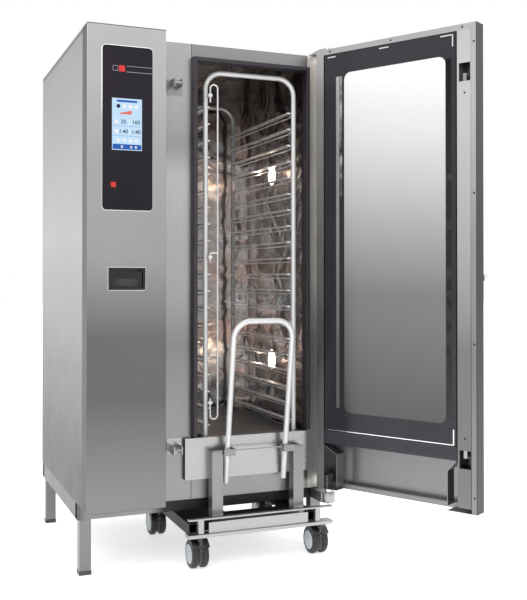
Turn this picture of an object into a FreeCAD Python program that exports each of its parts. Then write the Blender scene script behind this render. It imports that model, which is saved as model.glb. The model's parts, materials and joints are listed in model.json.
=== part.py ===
import math
import os
import re

import FreeCAD
import Part
import Sketcher
from FreeCAD import Placement, Rotation, Vector

# Combi steamer oven with a roll-in rack trolley, for 20 levels of GN 1/1 trays.
# Working frame, in millimetres: x to the right along the front, y to the back, z up.
# x = 0 is the left side of the cabinet, y = 0 the front of the oven's frame, z = 0 the floor.
# The door is drawn closed and then turned open about its hinge. At the end every sub-part is
# moved by one step, so that the origin is the middle of the whole object's base.

DIMENSIONS = {
    # cabinet
    "cabinet_width": 929, "cabinet_depth": 783, "cabinet_top": 1841, "body_bottom": 246,
    "frame_bottom": 230, "column_width": 265, "column_out": 142, "sheet": 2, "pan_depth": 20,
    # mouth of the cavity
    "mouth_left": 398, "mouth_right": 850, "mouth_top": 1792, "mouth_bottom": 430,
    # cavity
    "cavity_left": 294, "cavity_right": 866, "cavity_back": 735, "cavity_floor": 425, "cavity_ceiling": 1800,
    "baffle_face": 390,
    # fans, heaters and lamps
    "fan_y": 380, "fan_low": 780, "fan_high": 1440, "fan_radius": 140, "shaft_radius": 7,
    "running_gap": 0.05, "heater_radius": 165, "lamp_y": 360, "lamp_low": 678, "lamp_high": 1430,
    # legs and base frame
    "leg_size": 40, "cap_height": 14, "frame_low": 188, "leg_front": 22,
    # control column
    "glass_left": 50, "glass_wide": 167, "glass_low": 1234, "glass_high": 538,
    "screen_left": 81, "screen_wide": 100, "screen_low": 1430, "screen_high": 170,
    "port_left": 76, "port_wide": 112, "port_low": 977, "port_high": 62,
    # door, drawn closed
    "door_left": 293, "door_wide": 632, "door_inner": 31, "door_rim": 50, "door_raise": 34,
    "hinge_x": 902, "hinge_out": 72, "pin_radius": 6, "door_angle": 119.12,
    "drip_low": 412, "drip_high": 458,
    # latch
    "latch_x": 338, "latch_z": 1010, "module_mm": 1.5, "tooth_count": 16,
    "striker_high": 1690, "striker_low": 413, "striker_out": 45,
    # trolley
    "rack_x": 634.5, "upright_gap": 347, "upright_radius": 9, "rack_front": 30, "rack_rear": 680,
    "rack_foot": 446, "rack_top": 1752, "level_count": 20, "level_pitch": 60.4, "level_low": 478,
    "post_left": 457, "post_right": 768, "post_size": 40, "apron_left": 370, "apron_right": 842,
    "apron_low": 301, "apron_high": 447, "apron_out": 20, "bar_low": 118, "tube_radius": 10,
    "lean_angle": 9, "grip_left": 516, "grip_right": 738, "grip_low": 285, "grip_high": 860,
    "wheel_radius": 50, "wheel_trail": 32,
}

doc = FreeCAD.newDocument("combi_steamer_oven")
sheet = doc.addObject("Spreadsheet::Sheet", "Dims")
for row, (alias, amount) in enumerate(DIMENSIONS.items(), start=1):
    sheet.set("A%d" % row, alias)
    sheet.set("B%d" % row, str(amount))
    sheet.setAlias("B%d" % row, alias)
doc.recompute()

WORD = re.compile(r"[a-z][a-z_]*[a-z]")
SUBPARTS = []          # (object, placement of its group)
CABINET = Placement()


def size(expression):
    """A number, or an expression in the sheet's words, worked out in millimetres."""
    if not isinstance(expression, str):
        return float(expression)
    result = re.sub(WORD, lambda word: repr(float(sheet.get(word.group(0)))), expression)
    total = 0.0
    for sign, term in re.findall(r"([+-]?)\s*([^+\-\s][^+\-]*)", result):
        amount = 1.0
        for operation, factor in re.findall(r"([*/]?)\s*([\d.]+)", term):
            amount = amount / float(factor) if operation == "/" else amount * float(factor)
        total += -amount if sign == "-" else amount
    return total


def bind(item, name, amount):
    """Give one property its size, tied to the sheet where the size is an expression."""
    if isinstance(amount, str):
        item.setExpression(name, re.sub(WORD, lambda word: "Dims." + word.group(0), amount))
    elif name.startswith("Placement.Base."):
        base = item.Placement.Base
        setattr(base, name[-1], float(amount))
        item.Placement = Placement(base, item.Placement.Rotation)
    else:
        setattr(item, name, float(amount))


def put(item, spot, turn=None):
    """Place a primitive: numbers first, then the expressions."""
    item.Placement = Placement(Vector(0, 0, 0), turn or Rotation())
    for axis, amount in zip("xyz", spot):
        if not isinstance(amount, str):
            bind(item, "Placement.Base." + axis, amount)
    for axis, amount in zip("xyz", spot):
        if isinstance(amount, str):
            bind(item, "Placement.Base." + axis, amount)
    return item


def box(x, y, z, dx, dy, dz):
    """A box from its lowest corner and its three sizes."""
    item = doc.addObject("Part::Box", "Box")
    for name, amount in zip(("Length", "Width", "Height"), (dx, dy, dz)):
        bind(item, name, amount)
    return put(item, (x, y, z))


ALONG = {
    "x": Rotation(Vector(0, 1, 0), 90),
    "y": Rotation(Vector(1, 0, 0), -90),
    "z": Rotation(),
}


def rod(axis, x, y, z, radius, length):
    """A cylinder that starts at a point and runs along x, y or z."""
    item = doc.addObject("Part::Cylinder", "Rod")
    bind(item, "Radius", radius)
    bind(item, "Height", length)
    return put(item, (x, y, z), ALONG[axis])


def ring(axis, x, y, z, radius, thickness):
    """A torus round an axis along x, y or z."""
    item = doc.addObject("Part::Torus", "Ring")
    bind(item, "Radius1", radius)
    bind(item, "Radius2", thickness)
    return put(item, (x, y, z), ALONG[axis])


def cut(base, *tools):
    """What is left of base without the tools."""
    item = doc.addObject("Part::Cut", "Cut")
    item.Base = base
    item.Tool = tools[0] if len(tools) == 1 else group(*tools)
    return item


def fuse(*items):
    """Several shapes welded into one."""
    item = doc.addObject("Part::MultiFuse", "Fuse")
    item.Shapes = list(items)
    return item


def common(one, other):
    """The space that two shapes share."""
    item = doc.addObject("Part::Common", "Common")
    item.Base = one
    item.Tool = other
    return item


def group(*items):
    """Separate solids kept side by side in one object."""
    item = doc.addObject("Part::Compound", "Group")
    item.Links = list(items)
    return item


def subpart(label, item, place=CABINET):
    """Name a finished sub-part and note the placement of the group it belongs to.

    A lone primitive is wrapped, because its own place stays tied to the sheet.
    """
    if item.TypeId in ("Part::Box", "Part::Cylinder"):
        item = group(item)
    item.Label = label
    SUBPARTS.append((item, place))
    return item


def pan(x, y, z, dx, dy, dz, wall="sheet"):
    """A folded sheet pan, open towards the back."""
    outer = box(x, y, z, dx, dy, dz)
    inner = box(grow(x, wall), grow(y, wall), grow(z, wall), shrink(dx, wall), dy, shrink(dz, wall))
    return cut(outer, inner)


def grow(amount, wall):
    """Expression for one wall further along."""
    return "%s + %s" % (amount, wall)


def shrink(amount, wall):
    """Expression for one wall less at both ends."""
    return "%s - 2 * %s" % (amount, wall)


def square_tube(axis, x, y, z, dx, dy, dz, wall=3):
    """A square tube, open at both ends along x, y or z."""
    spot, full = [x, y, z], [dx, dy, dz]
    for index, name in enumerate("xyz"):
        if name != axis:
            spot[index] = grow(spot[index], wall)
            full[index] = shrink(full[index], wall)
    return cut(box(x, y, z, dx, dy, dz), box(*spot, *full))


def plane(body, role):
    """One of a body's own origin planes."""
    return next(item for item in body.Origin.OriginFeatures if item.Role == role)


def rectangle(sketch, left, low, wide, high):
    """A rectangle in a sketch, with its place and sizes tied to the sheet."""
    x0, y0 = size(left), size(low)
    x1, y1 = x0 + size(wide), y0 + size(high)
    corners = [Vector(x0, y0, 0), Vector(x1, y0, 0), Vector(x1, y1, 0), Vector(x0, y1, 0)]
    first = sketch.GeometryCount
    for start, end in zip(corners, corners[1:] + corners[:1]):
        sketch.addGeometry(Part.LineSegment(start, end), False)
    for step in range(4):
        sketch.addConstraint(Sketcher.Constraint("Coincident", first + step, 2, first + (step + 1) % 4, 1))
    for step, kind in enumerate(("Horizontal", "Vertical", "Horizontal", "Vertical")):
        sketch.addConstraint(Sketcher.Constraint(kind, first + step))
    for kind, ends, amount in (
        ("DistanceX", (-1, 1, first, 1), left), ("DistanceY", (-1, 1, first, 1), low),
        ("DistanceX", (first, 1, first, 2), wide), ("DistanceY", (first + 1, 1, first + 1, 2), high),
    ):
        index = sketch.addConstraint(Sketcher.Constraint(kind, *ends, size(amount)))
        if isinstance(amount, str):
            bind(sketch, "Constraints[%d]" % index, amount)


def outline(sketch, points):
    """A closed outline in a sketch through its corner points."""
    first = sketch.GeometryCount
    corners = [Vector(x, y, 0) for x, y in points]
    for start, end in zip(corners, corners[1:] + corners[:1]):
        sketch.addGeometry(Part.LineSegment(start, end), False)
    for step in range(len(corners)):
        following = first + (step + 1) % len(corners)
        sketch.addConstraint(Sketcher.Constraint("Coincident", first + step, 2, following, 1))


def new_body(name, role):
    """A PartDesign body with its first sketch on one of its origin planes."""
    body = doc.addObject("PartDesign::Body", name)
    return body, new_sketch(body, role)


def new_sketch(body, role, offset=0.0):
    """A sketch on an origin plane of a body, moved along the plane's normal."""
    sketch = body.newObject("Sketcher::SketchObject", body.Name + "_sketch")
    sketch.AttachmentSupport = (plane(body, role), [""])
    sketch.MapMode = "FlatFace"
    sketch.AttachmentOffset = Placement(Vector(0, 0, offset), Rotation())
    return sketch


def pad(body, sketch, length, backwards=False):
    """Pad a sketch of a body."""
    item = body.newObject("PartDesign::Pad", body.Name + "_pad")
    item.Profile = sketch
    bind(item, "Length", length)
    item.Reversed = backwards
    return item


def pocket(body, sketch, length, backwards=False):
    """Pocket a sketch out of a body, and make sure that it took something away."""
    doc.recompute()
    before = body.Shape.Volume
    item = body.newObject("PartDesign::Pocket", body.Name + "_pocket")
    item.Profile = sketch
    bind(item, "Length", length)
    item.Reversed = backwards
    doc.recompute()
    if body.Shape.Volume > before - 1.0:
        item.Reversed = not backwards
        doc.recompute()
    if body.Shape.Volume > before - 1.0:
        raise ValueError(body.Name + ": a pocket cut nothing")
    return item


def round_edges(body, base, direction, radius):
    """Fillet every edge of a body's feature that runs along one direction."""
    doc.recompute()
    names = []
    for number, edge in enumerate(base.Shape.Edges, start=1):
        run = edge.Vertexes[-1].Point - edge.Vertexes[0].Point
        if run.Length > 1e-6 and abs(run.normalize().dot(direction)) > 0.999:
            names.append("Edge%d" % number)
    item = body.newObject("PartDesign::Fillet", body.Name + "_fillet")
    item.Base = (base, names)
    bind(item, "Radius", radius)
    return item


def shape_part(label, shape, place=CABINET):
    """A sub-part whose shape is worked out with Part's own functions."""
    item = doc.addObject("Part::Feature", label)
    item.Shape = shape
    return subpart(label, item, place)


# ---------------------------------------------------------------- cabinet

def base_frame():
    """Tube frame under the cabinet, with the two angle rails that lead the trolley in."""
    low, high = "frame_low", "body_bottom - frame_low"
    inner = "cabinet_depth - 85 - leg_front"
    rails = [
        square_tube("x", 2, "leg_front", low, "cabinet_width - 4", "leg_size", high),
        square_tube("x", 2, "cabinet_depth - 5 - leg_size", low, "cabinet_width - 4", "leg_size", high),
    ]
    for x in (2, 300, "cabinet_width - 42"):
        rails.append(square_tube("y", x, "leg_front + leg_size", low, "leg_size", inner, high))
    for x, lip in ((322, 322), (915, 903)):
        rails.append(fuse(box(x, 90, "frame_low - 10", 4, 574, 10), box(lip, 90, "frame_low - 4", 16, 574, 4)))
    subpart("base_frame", group(*rails))


def leg_spots():
    """Lower front left corners of the four legs."""
    back = "cabinet_depth - 5 - leg_size"
    return ((9, "leg_front"), (885, "leg_front + 23"), (9, back), (885, back))


def legs():
    """Four square legs and their plastic end caps."""
    tubes, caps = [], []
    for x, y in leg_spots():
        tubes.append(square_tube("z", x, y, "cap_height", "leg_size", "leg_size", "frame_low - cap_height"))
        foot = box(grow(x, -1), grow(y, -1), 0, "leg_size + 2", "leg_size + 2", "cap_height")
        plug = box(grow(x, 3), grow(y, 3), "cap_height", "leg_size - 6", "leg_size - 6", 20)
        caps.append(fuse(foot, plug))
    subpart("legs", group(*tubes))
    subpart("leg_end_caps", group(*caps))


def outer_panels():
    """Sheet panels of the cabinet's sides, top with its two exhaust vents, back and bottom."""
    high = "cabinet_top - sheet - body_bottom"
    subpart("left_side_panel", box(0, "sheet - column_out", "body_bottom", "sheet",
                                   "cabinet_depth + column_out - sheet", high))
    subpart("right_side_panel", box("cabinet_width - sheet", "pan_depth", "body_bottom", "sheet",
                                    "cabinet_depth - pan_depth", high))
    over_body = box(0, "pan_depth", "cabinet_top - sheet", "cabinet_width", "cabinet_depth - pan_depth",
                    "sheet")
    over_column = box(0, "-column_out", "cabinet_top - sheet", "column_width", "column_out + pan_depth",
                      "sheet")
    vents = [cut(rod("z", x, 640, "cabinet_top", 25, 60), rod("z", x, 640, "cabinet_top + 4", 22, 60))
             for x in (330, 470)]
    subpart("roof_panel", group(over_body, over_column, *vents))
    rear = box("sheet", "cabinet_depth - sheet", "body_bottom + sheet", "cabinet_width - 2 * sheet", "sheet",
               "cabinet_top - body_bottom - 2 * sheet")
    slots = [box(60 + 22 * step, "cabinet_depth - 3", 700, 10, 4, 160) for step in range(8)]
    subpart("rear_panel", cut(rear, *slots))
    subpart("bottom_pan", box("sheet", "leg_front", "body_bottom", "cabinet_width - 2 * sheet",
                              "cabinet_depth - leg_front", "sheet"))


def column_front():
    """Folded front of the control column: front face and right-hand return."""
    body, sketch = new_body("column_front_panel", "XY_Plane")
    wide, out, wall = size("column_width"), size("column_out"), size("sheet")
    outline(sketch, ((0, -out), (wide, -out), (wide, 0), (wide - wall, 0), (wide - wall, wall - out),
                     (0, wall - out)))
    sketch.AttachmentOffset = Placement(Vector(0, 0, size("body_bottom")), Rotation())
    pad(body, sketch, "cabinet_top - body_bottom - sheet")
    holes = new_sketch(body, "XZ_Plane", size("column_out") + 5)
    rectangle(holes, "glass_left + 6", "glass_low + 6", "glass_wide - 12", "glass_high - 12")
    rectangle(holes, "port_left", "port_low", "port_wide", "port_high")
    pocket(body, holes, 12)
    subpart("column_front_panel", body)


def front_frame():
    """Folded pans round the cavity's mouth: two jambs, header and sill."""
    full = "cabinet_top - frame_bottom"
    subpart("front_jamb_left", pan("column_width", 0, "frame_bottom", "mouth_left - column_width",
                                   "pan_depth", full))
    subpart("front_jamb_right", pan("mouth_right", 0, "frame_bottom", "cabinet_width - mouth_right",
                                    "pan_depth", full))
    across = "mouth_right - mouth_left"
    subpart("front_header", pan("mouth_left", 0, "mouth_top", across, "pan_depth", "cabinet_top - mouth_top"))
    subpart("front_sill", pan("mouth_left", 0, "frame_bottom", across, "pan_depth",
                              "mouth_bottom - frame_bottom"))


def cavity():
    """Cavity walls with their openings, and the insulation slabs behind them."""
    high = "cavity_ceiling - cavity_floor"
    deep = "cavity_back + sheet - pan_depth"
    shaft_holes = [rod("x", "cavity_left - 10", "fan_y", z, 15, 20) for z in ("fan_low", "fan_high")]
    left = box("cavity_left - sheet", "pan_depth", "cavity_floor", "sheet", deep, high)
    lamp_holes = [rod("x", "cavity_right - 5", "lamp_y", z, 30, 20) for z in ("lamp_low", "lamp_high")]
    right = box("cavity_right", "pan_depth", "cavity_floor", "sheet", deep, high)
    wide = "cavity_right - cavity_left"
    over_all = "cavity_right - cavity_left + 2 * sheet"
    walls = [
        cut(left, *shaft_holes), cut(right, *lamp_holes),
        box("cavity_left", "cavity_back", "cavity_floor", wide, "sheet", high),
        box("cavity_left - sheet", "pan_depth", "cavity_floor - sheet", over_all, deep, "sheet"),
        box("cavity_left - sheet", "pan_depth", "cavity_ceiling", over_all, deep, "sheet"),
    ]
    subpart("cavity_liner", group(*walls))
    slab_holes = [rod("x", 265, "fan_y", z, 20, 40) for z in ("fan_low", "fan_high")]
    lamp_wells = [rod("x", "cavity_right", "lamp_y", z, 45, 60) for z in ("lamp_low", "lamp_high")]
    slab_low, slab_high = "body_bottom + 4", "cavity_ceiling + sheet"
    between = "cavity_ceiling + sheet - body_bottom - 4"
    slabs = [
        cut(box(270, 22, slab_low, "cavity_left - sheet - 270", 715, between), *slab_holes),
        cut(box("cavity_right + sheet", 22, slab_low, 56, 715, between), *lamp_wells),
        box(270, "cavity_back + sheet", slab_low, "cavity_right + 58 - 270", 40, between),
        box("cavity_left - sheet", 64, slab_low, over_all, 673, "cavity_floor - sheet - body_bottom - 4"),
        box(270, 22, slab_high, "cavity_right + 58 - 270", 755, 34),
    ]
    subpart("cavity_insulation", group(*slabs))


def gasket():
    """Door gasket round the mouth, open at the bottom where the trolley's apron closes it."""
    foot, out, deep = 450, -29.5, 45.5
    top = "mouth_top - 14"
    rails = [
        box("mouth_left", out, foot, 15, deep, "mouth_top - 450"),
        box("mouth_right - 14", out, foot, 14, deep, "mouth_top - 450"),
        box("mouth_left + 15", out, top, "mouth_right - mouth_left - 29", deep, 14),
    ]
    subpart("door_gasket", group(*rails))


def air_system():
    """Air baffle, heater rings, fan motors and the two fan wheels."""
    plate = box("baffle_face - sheet", 32, 440, "sheet", 690, 1345)
    windows = [rod("x", "baffle_face - 8", "fan_y", z, 120, 20) for z in ("fan_low", "fan_high")]
    posts = [rod("x", "cavity_left", y, z, 6, "baffle_face - sheet - cavity_left")
             for y in (50, 705) for z in (470, 1110, 1755)]
    subpart("air_baffle", group(cut(plate, *windows), *posts))
    heaters = [ring("x", x, "fan_y", z, "heater_radius", 5) for x in (318, 342)
               for z in ("fan_low", "fan_high")]
    subpart("heater_rings", group(*heaters))
    motors = []
    for z in ("fan_low", "fan_high"):
        bore = rod("x", 225, "fan_y", z, "shaft_radius + running_gap", 50)
        motors.append(cut(rod("x", 170, "fan_y", z, 62, 96), bore))
    subpart("fan_motors", group(*motors))
    for label, z in (("fan_wheel_lower", "fan_low"), ("fan_wheel_upper", "fan_high")):
        fan_wheel(label, z)


def fan_wheel(label, z):
    """Radial fan wheel: back disc, blades, front ring, hub and shaft."""
    blade_count, blade_inner = 16, 90
    disc = rod("x", 302, "fan_y", z, "fan_radius", 3)
    hub = rod("x", 298, "fan_y", z, 24, 20)
    shaft = rod("x", 226, "fan_y", z, "shaft_radius", 90)
    front = cut(rod("x", 360, "fan_y", z, "fan_radius", 3), rod("x", 355, "fan_y", z, 104, 12))
    blades = []
    for step in range(blade_count):
        turn = Rotation(Vector(1, 0, 0), step * 360.0 / blade_count)
        blade = doc.addObject("Part::Box", "Blade")
        blade.Length, blade.Width, blade.Height = 57, 2.5, size("fan_radius") - blade_inner - 3
        reach = turn.multVec(Vector(0, -1.25, blade_inner))
        blade.Placement = Placement(Vector(304, size("fan_y"), size(z)) + reach, turn)
        blades.append(blade)
    subpart(label, fuse(disc, hub, shaft, front, *blades))


def lamps():
    """Round lamp lenses on the cavity's right wall, with their housings behind."""
    lenses = [fuse(rod("x", "cavity_right - 6", "lamp_y", z, 38, 6),
                   rod("x", "cavity_right", "lamp_y", z, 29, 10)) for z in ("lamp_low", "lamp_high")]
    subpart("lamp_lenses", group(*lenses))


def controls():
    """Control glass, touch screen, and the service port with its bezel and flap."""
    body, sketch = new_body("control_glass", "XZ_Plane")
    rectangle(sketch, "glass_left", "glass_low", "glass_wide", "glass_high")
    sketch.AttachmentOffset = Placement(Vector(0, 0, size("column_out")), Rotation())
    plate = pad(body, sketch, 3)
    round_edges(body, plate, Vector(0, 1, 0), 12)
    subpart("control_glass", body)
    subpart("touch_screen", box("screen_left", "-3.6 - column_out", "screen_low", "screen_wide", 0.6,
                                "screen_high"))
    pivot_z = "port_low + port_high - 8"
    pivot_bore = rod("x", "port_left - 1", "3 - column_out", pivot_z, 1.55, "port_wide + 2")
    walls = [cut(box(x, "-column_out", "port_low", 2, 40, "port_high"), pivot_bore)
             for x in ("port_left", "port_left + port_wide - 2")]
    walls += [box("port_left + 2", "-column_out", z, "port_wide - 4", 40, 2)
              for z in ("port_low", "port_low + port_high - 2")]
    walls.append(box("port_left + 2", "38 - column_out", "port_low + 2", "port_wide - 4", 2, "port_high - 4"))
    bezel = [box("port_left - 6", "-column_out - 2", z, "port_wide + 12", 2, 8)
             for z in ("port_low - 6", "port_low + port_high - 2")]
    bezel += [box(x, "-column_out - 2", "port_low + 2", 8, 2, "port_high - 4")
              for x in ("port_left - 6", "port_left + port_wide - 2")]
    subpart("port_box", group(*walls, *bezel))
    leaf = box("port_left + 4", "2.5 - column_out", "port_low + 8", "port_wide - 8", 2, "port_high - 17")
    barrel = rod("x", "port_left + 4", "3 - column_out", pivot_z, 2.5, "port_wide - 8")
    pivot = rod("x", "port_left + 0.2", "3 - column_out", pivot_z, 1.5, "port_wide - 0.4")
    subpart("port_flap", fuse(leaf, barrel, pivot))


def services():
    """Steam generator inside, and the pipes and the gland at the back."""
    tank = rod("z", 130, 560, 320, 90, 420)
    tank_foot = box(60, 480, "body_bottom + sheet", 140, 160, "72 - sheet")
    subpart("steam_generator", group(tank, tank_foot))
    pipe = cut(rod("y", 600, "cabinet_depth", 330, 25, 60), rod("y", 600, "cabinet_depth + 3", 330, 22, 60))
    subpart("drain_pipe", pipe)
    inlets = [cut(rod("y", x, "cabinet_depth", 420, 13.2, 24), rod("y", x, "cabinet_depth + 4", 420, 9, 24))
              for x in (380, 440)]
    subpart("water_inlets", group(*inlets))
    gland = cut(rod("y", 180, "cabinet_depth", 330, 20, 26), rod("y", 180, "cabinet_depth + 4", 330, 12, 26))
    subpart("cable_gland", gland)


def strikers():
    """Two striker brackets on the left jamb, each with a cross pin for a latch hook."""
    items = []
    for centre, mount_low in (("striker_high", -38), ("striker_low", -18)):
        plate = box(308, -3, "%s + %d" % (centre, mount_low), 54, 3, 56)
        cheeks = [box(x, -52, "%s - 14" % centre, 4, 49, 28) for x in (320, 348)]
        pin = rod("x", 324, "-striker_out", centre, 4, 24)
        items.append(fuse(plate, pin, *cheeks))
    subpart("door_strikers", group(*items))


def hinge_brackets():
    """Hinge arms on the cabinet, above and below the door."""
    bore = rod("z", "hinge_x", "-hinge_out", 150, "pin_radius + running_gap", 1750)
    arm = box(870, "-hinge_out", 1843, 57, "hinge_out + 75", 8)
    eye = rod("z", "hinge_x", "-hinge_out", 1843, 25, 8)
    packer = box(870, 22, "cabinet_top", 57, 53, 2)
    upper_bracket = cut(fuse(arm, eye, packer), bore)
    low_arm = box(873, "-hinge_out", 190, 54, "hinge_out + leg_front", 36)
    low_eye = rod("z", "hinge_x", "-hinge_out", 190, 25, 36)
    low_bore = rod("z", "hinge_x", "-hinge_out", 150, "pin_radius + running_gap", 120)
    subpart("hinge_brackets", group(upper_bracket, cut(fuse(low_arm, low_eye), low_bore)))
    upper = fuse(rod("z", "hinge_x", "-hinge_out", 1800, "pin_radius", 51.5),
                 rod("z", "hinge_x", "-hinge_out", 1851.3, 13, 6))
    lower = fuse(rod("z", "hinge_x", "-hinge_out", 184, "pin_radius", 104),
                 rod("z", "hinge_x", "-hinge_out", 226.3, 13, 19.4))
    subpart("hinge_pins", group(upper, lower))


# ---------------------------------------------------------------- door, drawn closed

def door_place():
    """Placement that turns the closed door open about its hinge."""
    hinge = Vector(size("hinge_x"), -size("hinge_out"), 0)
    return Placement(Vector(0, 0, 0), Rotation(Vector(0, 0, 1), size("door_angle")), hinge)


def door_skin(place):
    """Outer skin: rim with a raised front and lower gussets, as flat sheets welded edge to edge."""
    left = "door_left"
    rim_y = "-door_inner - door_rim"
    low, high = "body_bottom", "cabinet_top - body_bottom"
    raised_x, raised_wide = "door_left + 22", "door_wide - 22"
    raised_low, raised_high = "body_bottom + 16", "cabinet_top - body_bottom - 32"
    face_y = "-door_inner - door_rim - door_raise"
    hinge_hole = [rod("z", "hinge_x", "-hinge_out", z, "pin_radius + 0.6", 40) for z in (230, 1820)]
    spindle_hole = rod("y", "latch_x", -125, "latch_z", "shaft_radius + running_gap", 20)
    window = box(430, -125, 560, 420, 20, 1180)
    side_walls = "door_rim - sheet"
    sheets = [
        box(left, grow(rim_y, "sheet"), low, "sheet", side_walls, high),
        box("door_left + door_wide - sheet", grow(rim_y, "sheet"), low, "sheet", side_walls, high),
        box("door_left + door_wide - sheet", grow(face_y, "sheet"), raised_low, "sheet", "door_raise",
            raised_high),
        cut(box("door_left + sheet", grow(rim_y, "sheet"), "cabinet_top - sheet", "door_wide - 2 * sheet",
                side_walls, "sheet"), hinge_hole[1]),
        box("door_left + sheet", grow(rim_y, "sheet"), low, "106 - sheet", side_walls, "sheet"),
        cut(box(838, grow(rim_y, "sheet"), low, "87 - sheet", side_walls, "sheet"), hinge_hole[0]),
        box(left, rim_y, low, 22, "sheet", high),
        box(raised_x, rim_y, "cabinet_top - 16", "door_wide - 22", "sheet", 16),
        box(raised_x, rim_y, low, "door_wide - 22", "sheet", 16),
        box(raised_x, grow(face_y, "sheet"), raised_low, "sheet", "door_raise - sheet", raised_high),
        *[box("door_left + 24", grow(face_y, "sheet"), z, "door_wide - 26", "door_raise - sheet", "sheet")
          for z in ("cabinet_top - 18", raised_low)],
        cut(box(raised_x, face_y, raised_low, raised_wide, "sheet", raised_high), spindle_hole, window),
    ]
    gussets = [gusset(368, 401, 262, 412), gusset(906, 838, 262, 412)]
    subpart("door_outer_skin", group(*sheets, *gussets), place)
    subpart("door_outer_glass", box(384, "-door_inner - door_rim - door_raise - 5", 500, 520, 5, 1290), place)


def door_inside(place):
    """Inner frame with its hinge blocks, lock channel and drip channel."""
    inner_y = "-door_inner - sheet"
    low, high = "body_bottom + sheet", "cabinet_top - body_bottom - 2 * sheet"
    strips = [
        box("door_left + sheet", inner_y, low, 17, "sheet", high),
        box("door_left + door_wide - 32", inner_y, low, 30, "sheet", high),
        box("door_left + 19", inner_y, "cabinet_top - 20", "door_wide - 51", "sheet", 18),
    ]
    for z, bore_z in ((1793, 1780), (248, 240)):
        bore = rod("z", "hinge_x", "-hinge_out", bore_z, "pin_radius + running_gap", 70)
        strips.append(cut(box(884, -79, z, 39, 38, 46), bore))
    subpart("door_inner_frame", group(*strips), place)
    slots = [box(315, -40, z, 40, 20, high_slot) for z, high_slot in ((1653, 60), (390, 59))]
    cover = cut(box(314.5, inner_y, 262, 47, "sheet", 1559), *slots)
    spindle = rod("y", "latch_x", -80, "latch_z", 12, 20)
    back = cut(box(314.5, -70, 262, 47, 1.5, 1559), spindle)
    sides = [box(313, -70, 262, 1.5, 37, 1559), box(361.5, -70, 262, 1.5, 37, 1559)]
    subpart("lock_channel", group(cover, back, *sides), place)
    floor = box(366, -58, "drip_low", 526, 25, 2)
    lips = [box(366, y, "drip_low + 2", 526, 2, "drip_high - drip_low - 2") for y in (-58, -35)]
    subpart("drip_channel", group(floor, *lips), place)


def gusset(edge, inner, low, high):
    """Slanted side plate that closes the door's lower hollow, from its top towards its foot."""
    thick = 2.0
    out_side = thick if edge > inner else -thick
    knee = high - 36
    points = [(edge, high), (inner, knee), (inner, low), (inner + out_side, low),
              (inner + out_side, knee - 1), (edge, high - 3.5)]
    body, sketch = new_body("gusset", "XZ_Plane")
    outline(sketch, points)
    sketch.AttachmentOffset = Placement(Vector(0, 0, size("door_inner") + 2), Rotation())
    pad(body, sketch, 46)
    return body


def inner_glass(place):
    """Hinged inner pane with its two hinge barrels, each on a short web."""
    pane = box(366.5, -37.3, 461, 522, 6, 1358)
    barrels = [fuse(rod("z", 886, -42, z, 3.6, 12), box(883.5, -42, z, 5, 4.7, 12)) for z in (463, 1775)]
    subpart("inner_glass", group(pane, *barrels), place)


def latch(place):
    """Handle with its spindle, pinion, and the two rack rods with their hooks."""
    axis_x, axis_z = size("latch_x"), size("latch_z")
    spindle = rod("y", "latch_x", -160, "latch_z", "shaft_radius", 106)
    boss = rod("y", "latch_x", -172, "latch_z", 17, 20)
    arm = box("latch_x", -172, "latch_z - 12", 150, 16, 24)
    tip = rod("y", "latch_x + 150", -172, "latch_z", 12, 16)
    subpart("door_handle", fuse(spindle, boss, arm, tip), place)
    shape_part("latch_pinion", pinion_shape(axis_x, axis_z), place)
    pitch = size("module_mm * tooth_count / 2")
    travel = pitch * math.pi / 2
    for label, side, up, centre in (("upper_latch_rod", -1, 1, "striker_high"),
                                    ("lower_latch_rod", 1, -1, "striker_low")):
        shape = rack_rod_shape(axis_x, axis_z, pitch, side, up, size(centre), travel)
        shape_part(label, shape, place)


RACK_DEPTH = (-66.0, 12.0)     # back face and thickness of the racks and the pinion
TOOTH_SLACK = 0.12             # taken off each flank of a rack's teeth
RACK_HEIGHT = 1.15             # tooth height above the rack's pitch line


def pinion_shape(axis_x, axis_z):
    """Involute pinion on the handle's spindle."""
    module, count = size("module_mm"), int(size("tooth_count"))
    pitch, pressure = module * count / 2, math.radians(20)
    base, tip, root = pitch * math.cos(pressure), pitch + module, pitch - 1.3 * module
    half = math.pi / (2 * count) + math.tan(pressure) - pressure
    points = []
    for tooth in range(count):
        middle = 2 * math.pi * tooth / count
        flank = []
        for step in range(7):
            radius = max(base, root) + (tip - max(base, root)) * step / 6
            roll = math.acos(base / radius)
            flank.append((radius, half - (math.tan(roll) - roll)))
        flank.insert(0, (root, flank[0][1]))
        points += [(radius, middle - turn) for radius, turn in flank]
        points += [(radius, middle + turn) for radius, turn in reversed(flank)]
    wire = Part.makePolygon([spot(axis_x, axis_z, *point) for point in points + points[:1]])
    blank = Part.Face(wire).extrude(Vector(0, RACK_DEPTH[1], 0))
    bore = Part.makeCylinder(size("shaft_radius"), 30, Vector(axis_x, -75, axis_z), Vector(0, 1, 0))
    return blank.cut(bore)


def spot(axis_x, axis_z, radius, turn):
    """Point on the pinion's back face, by radius and angle."""
    return Vector(axis_x + radius * math.cos(turn), RACK_DEPTH[0], axis_z + radius * math.sin(turn))


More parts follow.
